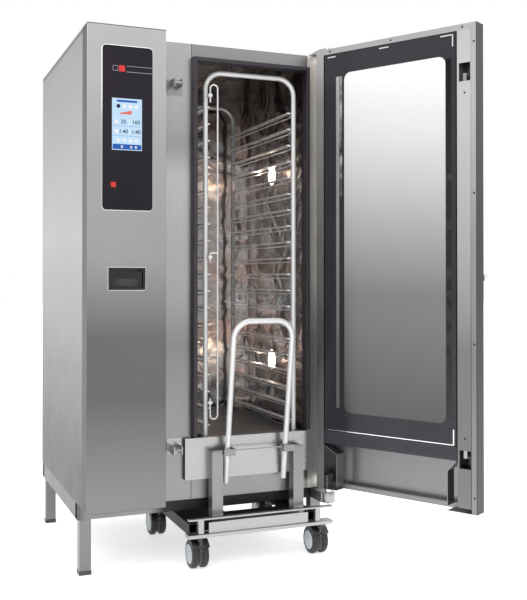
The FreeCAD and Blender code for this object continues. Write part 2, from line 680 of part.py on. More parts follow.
def rack_rod_shape(axis_x, axis_z, pitch, side, up, striker_z, travel):
    """Latch rod: a rack beside the pinion, a long bar and a hook at its far end.

    side is -1 for the rack on the low x side of the pinion, up is 1 for the rod that runs upwards.
    """
    module = size("module_mm")
    slope = math.tan(math.radians(20))
    line, root = side * pitch, side * (pitch + 1.25 * module)
    back = side * (pitch + 10)
    step = math.pi * module
    half_line = step / 4 - TOOTH_SLACK
    half_tip = half_line - RACK_HEIGHT * slope
    half_root = half_line + 1.25 * module * slope
    tip = line - side * RACK_HEIGHT
    outline_points = [(back, -6.5 * step), (root, -6.5 * step)]
    for tooth in range(-6, 7):
        centre = (tooth + 0.5) * step
        outline_points += [(root, centre - half_root), (tip, centre - half_tip),
                           (tip, centre + half_tip), (root, centre + half_root)]
    outline_points += [(root, 7.5 * step), (back, 7.5 * step)]
    corners = [Vector(axis_x + x, RACK_DEPTH[0], axis_z + z) for x, z in outline_points]
    rack = Part.Face(Part.makePolygon(corners + corners[:1])).extrude(Vector(0, RACK_DEPTH[1], 0))
    bar_x = axis_x + min(root, back)
    far = striker_z - up * (travel + 32)
    near = axis_z + (7.5 if up > 0 else -6.5) * step
    bar = slab(bar_x, RACK_DEPTH[0], min(near, far), abs(back - root), RACK_DEPTH[1], abs(far - near))
    saddle = striker_z - up * (travel + 4.3)
    tips = striker_z - up * (travel - 8)
    step_low = min(far, far - up * 12)
    jog_left = min(bar_x, 330)
    jog_right = max(bar_x + abs(back - root), 342)
    jog = slab(jog_left, RACK_DEPTH[0], step_low, jog_right - jog_left, RACK_DEPTH[1], 12)
    stem = slab(330, RACK_DEPTH[0], min(far, saddle), 12, 31.3, abs(saddle - far))
    front_prong = slab(330, -40.7, min(saddle, tips), 12, 6, abs(tips - saddle))
    back_prong = slab(330, -55.3, min(saddle, tips), 12, 6, abs(tips - saddle))
    return rack.multiFuse([bar, jog, stem, front_prong, back_prong]).removeSplitter()


def slab(x, y, z, dx, dy, dz):
    """A plain box shape."""
    return Part.makeBox(dx, dy, dz, Vector(x, y, z))


# ---------------------------------------------------------------- trolley

def arch_shapes(left, right, foot, top, bend, radius, turn, hinge):
    """Inverted U of tube as separate solids: two legs, two bends and the top bar."""
    legs_high = top - bend - foot
    parts = []
    for x in (left, right):
        parts.append(Part.makeCylinder(radius, legs_high, Vector(x, 0, foot)))
    for x, start in ((left + bend, 90), (right - bend, 0)):
        centre = Vector(x, 0, top - bend)
        torus = Part.makeTorus(bend, radius, Vector(0, 0, 0), Vector(0, 0, 1), -180, 180, 90)
        torus.Placement = Placement(centre, Rotation(Vector(1, 0, 0), 90).multiply(
            Rotation(Vector(0, 0, 1), start)))
        parts.append(torus)
    across = right - left - 2 * bend
    parts.append(Part.makeCylinder(radius, across, Vector(left + bend, 0, top), Vector(1, 0, 0)))
    whole = Part.makeCompound(parts)
    whole.Placement = Placement(hinge, turn)
    return whole


def rack():
    """Front and rear tube frames, tray rails and the floor tray of the rack."""
    left = size("rack_x - upright_gap / 2")
    right = size("rack_x + upright_gap / 2")
    foot, top, radius = size("rack_foot"), size("rack_top"), size("upright_radius")
    frames = [arch_shapes(left, right, foot, top, 62, radius, Rotation(), Vector(0, y, 0))
              for y in (size("rack_front"), size("rack_rear"))]
    tubes = [solid for frame in frames for solid in frame.Solids]
    shape_part("rack_frames", Part.makeCompound(tubes + stop_clips()))
    rails = []
    for level in range(int(size("level_count"))):
        z = "level_low + %d * level_pitch" % level
        for x in ("rack_x - upright_gap / 2 - 1", "rack_x + upright_gap / 2 - 21"):
            rails.append(box(x, "rack_front + upright_radius", z, 22,
                             "rack_rear - rack_front - 2 * upright_radius", 5))
    subpart("tray_rails", group(*rails))
    floor = box("rack_x - 186", 18, "rack_foot - 8", 372, 680, 8)
    well = box("rack_x - 176", 44, "rack_foot - 6", 352, 620, 10)
    link = box("rack_x - 186", -1, "rack_foot - 6", 372, 19, 6)
    subpart("rack_floor_tray", group(cut(floor, well), link))


def trolley_front():
    """Apron, posts with handle loops, and the chassis under the oven."""
    wall = size("sheet")
    body, sketch = new_body("trolley_apron", "YZ_Plane")
    front, low, high = -size("apron_out"), size("apron_low"), size("apron_high")
    outline(sketch, ((-1.0, low), (front, low), (front, high - 7), (front, high), (-1.0, high),
                     (-1.0, high - wall), (front + wall, high - wall), (front + wall, low + wall),
                     (-1.0, low + wall)))
    sketch.AttachmentOffset = Placement(Vector(0, 0, size("apron_left")), Rotation())
    pad(body, sketch, "apron_right - apron_left")
    subpart("trolley_apron", body)
    posts = [square_tube("z", x, "-apron_out - post_size", "bar_low + 12", "post_size", "post_size",
                         "282 - 12") for x in ("post_left", "post_right")]
    loops = []
    left_loop = ("post_left + post_size", "post_left + post_size + 40")
    right_loop = ("post_right - 43", "post_right - 43")
    for low_x, end_x in (left_loop, right_loop):
        loops.append(box(end_x, -71, 386, 2, 36, 24))
        loops += [box(low_x, y, 386, 43 if low_x == end_x else 42, 2, 24) for y in (-73, -35)]
    subpart("trolley_posts", group(*posts, *loops))


def chassis():
    """Trolley chassis: front bars, cross beam, spacers and side rails."""
    lower = box(358, -105, "bar_low", 547, 45, 12)
    upper = box(358, -104, 178, 547, 18, 6)
    beam = box("post_left + post_size", -98, "bar_low + 12", "post_right - post_left - post_size", 38, 38)
    spacers = [box(x, -98, "bar_low + 12", 20, 20, 48) for x in (394, 838)]
    subpart("chassis_front", group(lower, upper, beam, *spacers))
    rails = [square_tube("y", x, -60, "bar_low", 30, 500, 40) for x in (372, 825)]
    rear = square_tube("x", 402, 400, "bar_low", 423, 30, 40)
    subpart("chassis_side_rails", group(*rails, rear))


def push_handle():
    """Lift-off push handle, leaning out towards the user."""
    lean = size("lean_angle")
    turn = Rotation(Vector(1, 0, 0), lean)
    scale = 1 / math.cos(math.radians(lean))
    centre = Vector(0, -52, 398)
    foot = (size("grip_low") - 398) * scale
    top = (size("grip_high") - 398) * scale
    left, right, radius = size("grip_left"), size("grip_right"), size("tube_radius")
    shape_part("push_handle", arch_shapes(left, right, foot, top, 62, radius, turn, centre))


STOP_PIVOT = (472.0, 8.0)      # place of the stop rod's pivot line, seen from above
STOP_WIRE = 3.0                # radius of its wire
STOP_REACH = 28.0              # from the pivot line to the part in front of the trays


def stop_clips():
    """Three eyes on the front left upright that carry the tray stop rod."""
    x, y = STOP_PIVOT
    eyes = []
    for z in (560, 1080, 1660):
        bore = Part.makeCylinder(STOP_WIRE + 0.08, 12, Vector(x, y, z - 1))
        eyes.append(slab(x - 8, y - 6, z, 14, 18.5, 10).cut(bore))
    return eyes


def tray_stop():
    """Swinging rod that keeps the trays in."""
    x, y = STOP_PIVOT
    wires = [Part.makeCylinder(STOP_WIRE, 1170, Vector(x + STOP_REACH, y, 520)),
             Part.makeCylinder(STOP_WIRE, STOP_REACH, Vector(x, y, 1100), Vector(1, 0, 0))]
    for low, long in ((520, 60), (1066, 34), (1640, 50)):
        wires.append(Part.makeCylinder(STOP_WIRE, long, Vector(x, y, low)))
    wires.append(bend_shape(x, y, 1690, STOP_REACH / 2, STOP_WIRE, True))
    wires.append(bend_shape(x, y, 520, STOP_REACH / 2, STOP_WIRE, False))
    shape_part("tray_stop_rod", wires[0].multiFuse(wires[1:]).removeSplitter())


def bend_shape(x, y, z, radius, wire, upwards):
    """Half-round bend of rod in the x-z plane that starts at x and ends two radii further."""
    torus = Part.makeTorus(radius, wire, Vector(0, 0, 0), Vector(0, 0, 1), -180, 180, 180)
    turn = Rotation(Vector(1, 0, 0), 90 if upwards else -90)
    torus.Placement = Placement(Vector(x + radius, y, z), turn)
    return torus


CASTERS = {
    "front_left": (408, -72, 90), "front_right": (866, -72, 90),
    "rear_left": (387, 385, 90), "rear_right": (840, 385, 90),
}


def caster(name, x, y, heading):
    """Twin-wheel caster: a housing that swivels under the chassis and a pair of wheels."""
    radius, trail = size("wheel_radius"), size("wheel_trail")
    place = Placement(Vector(x, y, 0), Rotation(Vector(0, 0, 1), heading))
    plate = rod("z", 0, 0, "bar_low - 6", 24, 6)
    stem = rod("z", 0, 0, 97, 11, 18)
    web = cut(rod("y", trail, -6, "wheel_radius", 46, 12), rod("y", trail, -7, "wheel_radius", 5.06, 14),
              box(-60, -8, -10, 180, 16, 28))
    neck = box(-12, -6, 62, 40, 12, 38)
    shell = cut(rod("y", trail, -31, "wheel_radius", 55.5, 62),
                rod("y", trail, -32, "wheel_radius", 51.5, 64))
    hood = common(shell, box(-40, -31, 78, 72, 62, 40))
    subpart("caster_housing_" + name, fuse(plate, stem, web, neck, hood), place)
    wheels = []
    for side in (-1, 1):
        tyre = rod("y", trail, 6.6 if side > 0 else -29.6, "wheel_radius", radius, 23)
        hub = rod("y", trail, 29 if side > 0 else -32, "wheel_radius", 34, 3)
        wheels.append(fuse(tyre, hub))
    axle = rod("y", trail, -10, "wheel_radius", 5, 20)
    subpart("caster_wheels_" + name, fuse(axle, *wheels), place)


# ---------------------------------------------------------------- build, check and write

def build():
    """Make every sub-part."""
    for make in (base_frame, legs, outer_panels, column_front, front_frame, cavity, gasket, air_system, lamps,
                 controls, services, strikers, hinge_brackets):
        make()
    opened = door_place()
    for make in (door_skin, door_inside, inner_glass, latch):
        make(opened)
    for make in (rack, trolley_front, chassis, push_handle, tray_stop):
        make()
    for name, (x, y, heading) in CASTERS.items():
        caster(name, x, y, heading)
    doc.recompute()


def base_centre(shapes):
    """Middle of the base of all the shapes together."""
    boxes = [shape.optimalBoundingBox(False) for shape in shapes]
    whole = FreeCAD.BoundBox(boxes[0])
    for one in boxes[1:]:
        whole.add(one)
    return Vector((whole.XMin + whole.XMax) / 2, (whole.YMin + whole.YMax) / 2, whole.ZMin)


def placed(shape, place):
    """A copy of a shape, moved by a placement."""
    moved = shape.copy()
    moved.Placement = place.multiply(moved.Placement)
    return moved


def finish():
    """Move the sub-parts to their places, check them and write their files."""
    bad = [item.Label for item in doc.Objects if set(item.State) & {"Invalid", "Error"}]
    if bad:
        raise ValueError("failed objects: " + ", ".join(bad))
    centre = base_centre([placed(item.Shape, place) for item, place in SUBPARTS])
    shift = Placement(centre.negative(), Rotation())
    for item, place in SUBPARTS:
        item.Placement = shift.multiply(place).multiply(item.Placement)
    doc.recompute()
    os.makedirs("parts", exist_ok=True)
    for item, _ in SUBPARTS:
        shape = item.Shape
        if shape.isNull() or not shape.isValid() or set(item.State) & {"Invalid", "Error"}:
            raise ValueError(item.Label + ": bad shape")
        shape.exportStep(os.path.join("parts", item.Label + ".step"))
    print("origin in the working frame: %.4f %.4f %.4f" % tuple(centre))
    print("sub-parts written: %d" % len(SUBPARTS))


build()
finish()
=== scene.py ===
"""Finishes and fine pieces of a roll-in combi steamer oven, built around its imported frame.

Every drawing is in millimetres in the oven's working frame: x to the right along the front, y to the
back, z up, with the door drawn closed. A Space turns a drawing into the row frame, in metres.
"""
from __future__ import annotations

import json
import logging
import math
from dataclasses import dataclass, field, replace
from enum import Enum
from typing import Any, Iterable, Sequence, Union

import bmesh
import bpy
from mathutils import Matrix, Vector

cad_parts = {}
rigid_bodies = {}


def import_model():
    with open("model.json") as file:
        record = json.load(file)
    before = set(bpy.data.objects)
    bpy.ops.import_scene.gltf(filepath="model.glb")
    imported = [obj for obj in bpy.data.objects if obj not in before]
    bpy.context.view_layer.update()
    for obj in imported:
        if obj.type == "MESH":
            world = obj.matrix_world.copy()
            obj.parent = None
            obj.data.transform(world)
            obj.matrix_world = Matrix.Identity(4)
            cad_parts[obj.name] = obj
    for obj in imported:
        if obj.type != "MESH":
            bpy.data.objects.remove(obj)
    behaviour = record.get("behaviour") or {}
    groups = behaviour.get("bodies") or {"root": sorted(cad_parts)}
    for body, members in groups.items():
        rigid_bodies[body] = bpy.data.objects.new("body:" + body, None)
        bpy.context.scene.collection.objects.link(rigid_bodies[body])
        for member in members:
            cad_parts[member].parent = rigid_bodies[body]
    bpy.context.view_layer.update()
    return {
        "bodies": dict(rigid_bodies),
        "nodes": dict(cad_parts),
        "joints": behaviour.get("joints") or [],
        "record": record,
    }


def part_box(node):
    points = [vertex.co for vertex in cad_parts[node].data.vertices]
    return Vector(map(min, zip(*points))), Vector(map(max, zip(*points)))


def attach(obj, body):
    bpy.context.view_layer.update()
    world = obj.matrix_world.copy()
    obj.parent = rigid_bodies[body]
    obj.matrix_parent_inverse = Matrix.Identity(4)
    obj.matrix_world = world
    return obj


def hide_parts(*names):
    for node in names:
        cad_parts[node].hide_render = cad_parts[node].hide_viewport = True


LOG = logging.getLogger("combi_steamer")
DRAWN_HINGE = (902.0, -72.0, 0.0)  # the door's axis in the drawings, in millimetres
EDGE_SHEET, EDGE_REACH = 0.0021, 0.1  # metres into the door's edge and past it that its painted shade covers
Colour = tuple[float, float, float]
Point = Sequence[float]


# ------------------------------------------------------------------ shader graph

class Wire:
    """A value that runs between shader nodes, with arithmetic."""

    def __init__(self, graph: "Graph", socket: bpy.types.NodeSocket) -> None:
        """Hold one output socket of a graph."""
        self.graph, self.socket = graph, socket

    def _math(self, operation: str, *values: Any, clamp: bool = False) -> "Wire":
        """Add a Math node on these values."""
        return self.graph.node("ShaderNodeMath", {"operation": operation, "use_clamp": clamp},
                               dict(enumerate(values)))

    def __add__(self, other: Any) -> "Wire":
        """Sum."""
        return self._math("ADD", self, other)

    def __sub__(self, other: Any) -> "Wire":
        """Difference."""
        return self._math("SUBTRACT", self, other)

    def __rsub__(self, other: Any) -> "Wire":
        """Difference, with the number first."""
        return self._math("SUBTRACT", other, self)

    def __mul__(self, other: Any) -> "Wire":
        """Product."""
        return self._math("MULTIPLY", self, other)

    def __truediv__(self, other: Any) -> "Wire":
        """Quotient."""
        return self._math("DIVIDE", self, other)

    def __pow__(self, other: Any) -> "Wire":
        """Power."""
        return self._math("POWER", self, other)

    __radd__, __rmul__ = __add__, __mul__

    def over(self, edge: float, soft: float) -> "Wire":
        """0 below an edge and 1 above it, over a soft width.

        Args:
            edge: value at which the step is half way.
            soft: width of the step.

        Returns:
            The clamped step.
        """
        return self._math("MULTIPLY_ADD", self, 1 / soft, 0.5 - edge / soft, clamp=True)


class Graph:
    """The node tree of one material."""

    def __init__(self, name: str) -> None:
        """Start a material with an empty tree."""
        self.material = bpy.data.materials.new(name)
        self.material.use_nodes = True
        self.tree = self.material.node_tree
        self.tree.nodes.clear()

    def node(self, kind: str, settings: dict[str, Any] | None = None,
             inputs: dict[Union[int, str], Any] | None = None, out: Union[int, str, None] = 0) -> Wire:
        """Add one node.

        Args:
            kind: the node's type.
            settings: its properties, and "stops" for a ramp as (place, colour) pairs.
            inputs: socket values or Wires, by index or name.
            out: the output that the Wire returned holds, None for a node without outputs.

        Returns:
            The chosen output.
        """
        made = self.tree.nodes.new(kind)
        for key, value in (settings or {}).items():
            if key == "stops":
                self._stops(made.color_ramp, value)
            else:
                setattr(made, key, value)
        for key, value in (inputs or {}).items():
            if isinstance(value, Wire):
                self.tree.links.new(value.socket, made.inputs[key])
            else:
                made.inputs[key].default_value = value
        return Wire(self, None if out is None else made.outputs[out])

    @staticmethod
    def _stops(ramp: bpy.types.ColorRamp, stops: Sequence[tuple[float, Colour]]) -> None:
        """Set a colour ramp's stops."""
        while len(ramp.elements) < len(stops):
            ramp.elements.new(1.0)
        for element, (place, colour) in zip(ramp.elements, stops):
            element.position = place
            element.color = (*colour, 1.0)

    def place(self) -> Wire:
        """Coordinates of the piece at rest, in metres."""
        return self.node("ShaderNodeTexCoord", out="Object")

    def axis(self, name: str) -> Wire:
        """One coordinate, X, Y or Z, in metres."""
        return self.node("ShaderNodeSeparateXYZ", inputs={0: self.place()}, out=name)

    def noise(self, scale: Point, detail: float = 2.0, distortion: float = 0.0) -> Wire:
        """Noise in coordinates that are stretched along each axis.

        Args:
            scale: repeats per metre along x, y and z.
            detail: octaves.
            distortion: warp.

        Returns:
            The noise, from 0 to 1.
        """
        stretched = self.node("ShaderNodeVectorMath", {"operation": "MULTIPLY"},
                              {0: self.place(), 1: tuple(scale)})
        return self.node("ShaderNodeTexNoise", {"noise_dimensions": "3D"},
                         {"Vector": stretched, "Scale": 1.0, "Detail": detail, "Distortion": distortion})

    def ramp(self, factor: Wire, *stops: tuple[float, Colour]) -> Wire:
        """Colour by factor."""
        return self.node("ShaderNodeValToRGB", {"stops": stops}, {0: factor})

    def blend(self, factor: Any, low: Any, high: Any, mode: str = "MIX") -> Wire:
        """Mix two colours.

        Args:
            factor: share of the second colour.
            low: first colour or Wire.
            high: second colour or Wire.
            mode: how they combine.

        Returns:
            The mixed colour.
        """
        pair = [value if isinstance(value, Wire) else (*value, 1.0) for value in (low, high)]
        return self.node("ShaderNodeMix", {"data_type": "RGBA", "blend_type": mode},
                         {0: factor, 6: pair[0], 7: pair[1]}, out=2)

    def bump(self, height: Wire, strength: float, distance: float = 0.001) -> Wire:
        """Normal that follows a height."""
        return self.node("ShaderNodeBump", None,
                         {"Strength": strength, "Distance": distance, "Height": height})

    def surface(self, **sockets: Any) -> bpy.types.Material:
        """End the tree with a Principled shader.

        Args:
            sockets: values or Wires by socket name, with underscores for spaces.

        Returns:
            The finished material.
        """
        values = {key.replace("_", " "): value for key, value in sockets.items()}
        for key in ("Base Color", "Emission Color", "Coat Tint"):
            if key in values and not isinstance(values[key], Wire):
                values[key] = (*values[key], 1.0)
        shader = self.node("ShaderNodeBsdfPrincipled", None, values)
        self.node("ShaderNodeOutputMaterial", None, {0: shader}, out=None)
        return self.material


# ------------------------------------------------------------------ finishes

class Grain(Enum):
    """Direction of the brushing, as noise repeats per metre along x, y and z."""

    UPRIGHT = (900.0, 900.0, 6.0)
    ACROSS = (6.0, 900.0, 900.0)
    DEEP = (900.0, 6.0, 900.0)
    NONE = (160.0, 160.0, 160.0)


def grey(level: float, warm: float = 0.0) -> Colour:
    """Linear grey, a little warmer or cooler."""
    return (level * (1 + warm), level, level * (1 - warm))


@dataclass(frozen=True)
class Zone:
    """A part of a surface beyond a plane, up to a second plane, whose colour is multiplied darker."""

    toward: tuple[float, float, float]
    start: float
    stop: float
    colour: Colour
    soft: float = 0.001

    def tint(self, g: Graph, colour: Wire) -> Wire:
        """Multiply a colour inside the zone.

        Args:
            g: the graph.
            colour: the colour before.

        Returns:
            The colour after.
        """
        along = g.node("ShaderNodeVectorMath", {"operation": "DOT_PRODUCT"}, {0: g.place(), 1: self.toward},
                       out="Value")
        inside = along.over(self.start, self.soft) * (1.0 - along.over(self.stop, self.soft))
        return g.blend(inside, colour, g.blend(1.0, colour, self.colour, "MULTIPLY"))


@dataclass(frozen=True)
class Steel:
    """Stainless steel with brushing, optional bands of painted light and shade by height, and faint handling
    marks.
    """

    name: str
    tone: float = 0.55
    grain: Grain = Grain.UPRIGHT
    roughness: float = 0.30
    contrast: float = 0.10
    brushing: float = 0.10
    warm: float = 0.0
    bands: tuple[tuple[float, float], ...] = ()
    span: tuple[float, float] = (0.0, 1.85)
    along: str = "Z"
    zones: tuple["Zone", ...] = ()
    waviness: float = 0.0
    metallic: float = 0.85

    def make(self) -> bpy.types.Material:
        """Build the material."""
        g = Graph(self.name)
        fine = g.noise(self.grain.value, 3.0)
        broad = g.noise((1.6, 1.6, 2.4), 2.0)
        smudge = g.noise((11.0, 11.0, 8.0), 3.0, 0.6)
        shade = 1.0 + (fine - 0.5) * self.contrast + (broad - 0.5) * 0.22
        # Painted light and shade: the tone is set by height, or along x.
        if self.bands:
            low, high = self.span
            height = (g.axis(self.along) - low) / (high - low)
            colour = g.ramp(height, *[(place, grey(tone, self.warm)) for place, tone in self.bands])
        else:
            colour = grey(self.tone, self.warm)
        colour = g.node("ShaderNodeVectorMath", {"operation": "SCALE"}, {0: colour, "Scale": shade})
        for zone in self.zones:
            colour = zone.tint(g, colour)
        rough = self.roughness + (fine - 0.5) * 0.14 + (smudge - 0.5) * 0.10
        height_map = fine * 0.25 + broad * self.waviness
        return g.surface(Base_Color=colour, Metallic=self.metallic, Roughness=rough,
                         Normal=g.bump(height_map, self.brushing, 0.0012))


@dataclass(frozen=True)
class MirrorSteel:
    """Bright cavity sheet with pressed waves, heat tint, water marks and painted shade towards the top."""

    name: str
    tone: float = 0.62
    tint: float = 0.25
    roughness: float = 0.12
    top_shade: float = 0.35

    def make(self) -> bpy.types.Material:
        """Build the material."""
        g = Graph(self.name)
        waves = g.noise((5.0, 5.0, 7.0), 2.0, 0.8)
        stain = g.noise((3.0, 3.0, 5.0), 4.0, 1.2)
        marks = g.noise((60.0, 60.0, 25.0), 3.0)
        clean = g.blend(marks.over(0.62, 0.3), grey(self.tone), grey(self.tone * 0.8, 0.04))
        heated = (self.tone * 1.25, self.tone * 0.72, self.tone * 0.52)
        colour = g.blend(stain.over(0.52, 0.2) * self.tint, clean, heated)
        # Painted shade towards the top: above 1.6 m high the colour is multiplied by a darker grey.
        under = g.axis("Z").over(1.60, 0.35)
        colour = g.blend(under, colour, g.blend(1.0, colour, grey(self.top_shade), "MULTIPLY"))
        return g.surface(Base_Color=colour, Metallic=1.0, Roughness=self.roughness + marks * 0.10,
                         Normal=g.bump(waves, 0.55, 0.03))


@dataclass(frozen=True)
class Moulded:
    """Moulded plastic or rubber with a fine pebbled skin."""

    name: str
    colour: Colour
    roughness: float = 0.45
    pebble: float = 0.15
    scale: float = 700.0
    coat: float = 0.0

    def make(self) -> bpy.types.Material:
        """Build the material."""
        g = Graph(self.name)
        skin = g.noise((self.scale,) * 3, 2.0)
        dust = g.noise((9.0, 9.0, 9.0), 4.0, 0.4)
        pale = tuple(min(1.0, c * 1.25 + 0.012) for c in self.colour)
        colour = g.blend(dust.over(0.55, 0.4) * 0.6, self.colour, pale)
        return g.surface(Base_Color=colour, Roughness=self.roughness + (dust - 0.5) * 0.2,
                         Coat_Weight=self.coat, Normal=g.bump(skin, self.pebble, 0.0004))


@dataclass(frozen=True)
class PrintedGlass:
    """Opaque black printed glass with faint finger marks."""

    name: str
    colour: Colour = (0.016, 0.011, 0.018)
    specular: float = 0.22

    def make(self) -> bpy.types.Material:
        """Build the material."""
        g = Graph(self.name)
        marks = g.noise((14.0, 14.0, 10.0), 4.0, 0.7)
        cloud = g.noise((2.2, 2.2, 1.8), 2.0)
        lifted = tuple(c * 1.8 for c in self.colour)
        return g.surface(Base_Color=g.blend(cloud.over(0.5, 0.6), self.colour, lifted),
                         Roughness=0.07 + marks.over(0.6, 0.3) * 0.10, Specular_IOR_Level=self.specular,
                         Normal=g.bump(cloud, 0.04, 0.01))


@dataclass(frozen=True)
class Pane:
    """Window glass whose colour paints a reflection: light at the top and darker towards its foot."""

    name: str
    bands: tuple[tuple[float, float], ...]
    span: tuple[float, float]
    alpha: float = 0.9

    def make(self) -> bpy.types.Material:
        """Build the material."""
        g = Graph(self.name)
        low, high = self.span
        height = (g.axis("Z") - low) / (high - low)
        colour = g.ramp(height, *[(place, grey(tone)) for place, tone in self.bands])
        marks = g.noise((10.0, 10.0, 6.0), 4.0, 0.8)
        return g.surface(Base_Color=colour, Roughness=0.10 + marks.over(0.62, 0.3) * 0.08,
                         Alpha=self.alpha + (marks - 0.5) * 0.02)


@dataclass(frozen=True)
class Glow:
    """A lit surface, such as a lamp lens or part of a display."""

    name: str
    colour: Colour
    strength: float
    roughness: float = 0.25

    def make(self) -> bpy.types.Material:
        """Build the material."""
        g = Graph(self.name)
        fine = g.noise((400.0, 400.0, 400.0), 2.0)
        dim = tuple(c * 0.86 for c in self.colour)
        body = tuple(c * 0.1 for c in self.colour)
        return g.surface(Base_Color=body, Specular_IOR_Level=0.2,
                         Emission_Color=g.blend(fine, dim, self.colour),
                         Emission_Strength=self.strength, Roughness=self.roughness)


@dataclass(frozen=True)
class Wool:
    """Mineral wool behind the panels."""

    name: str

    def make(self) -> bpy.types.Material:
        """Build the material."""
        g = Graph(self.name)
        fibre = g.noise((90.0, 220.0, 90.0), 5.0, 2.0)
        return g.surface(Base_Color=g.blend(fibre, (0.42, 0.36, 0.20), (0.70, 0.62, 0.42)),
                         Roughness=0.95, Normal=g.bump(fibre, 0.8, 0.004))


# These band tables paint reflected light and shade on the steel panels and the window glass: tone by height,
# and along x for the base.
FRONT_BANDS = ((0.0, 0.19), (0.16, 0.18), (0.33, 0.10), (0.44, 0.11), (0.58, 0.28), (0.76, 0.33),
               (0.88, 0.42), (1.0, 0.45))
JAMB_BANDS = ((0.0, 0.25), (0.25, 0.22), (0.42, 0.19), (0.55, 0.33), (0.74, 0.44), (0.80, 0.30),
              (0.90, 0.40), (1.0, 0.40))
SIDE_BANDS = ((0.0, 0.035), (0.20, 0.04), (0.38, 0.18), (0.62, 0.48), (0.82, 0.40), (1.0, 0.31))
DOOR_BANDS = ((0.0, 0.24), (0.20, 0.20), (0.40, 0.18), (0.62, 0.28), (0.85, 0.44), (1.0, 0.42))
# Painted light: the jamb's bands made 2.6 times brighter, and a little warmer, for the right jamb.
PAINTED_LIGHT_JAMB_BANDS = tuple((place, min(0.9, tone * 2.6)) for place, tone in JAMB_BANDS)
CHANNEL_BANDS = ((0.0, 0.18), (0.22, 0.145), (0.42, 0.17), (0.60, 0.36), (0.85, 0.52), (1.0, 0.48))
SIDE_ZONES = (Zone((0, -1, 0), 0.178, 0.30, (0.22, 0.205, 0.20)),
              Zone((0, -1, 0), 0.174, 0.178, (0.3, 0.3, 0.3)),
              Zone((0, 0, 1), 1.826, 1.834, (0.35, 0.34, 0.33)))
BASE_BANDS = ((0.0, 0.10), (0.02, 0.12), (0.06, 0.22), (0.40, 0.24), (0.48, 0.03), (1.0, 0.025))
INNER_BANDS = ((0.0, 0.06), (0.35, 0.16), (0.55, 0.34), (0.8, 0.60), (1.0, 0.76))

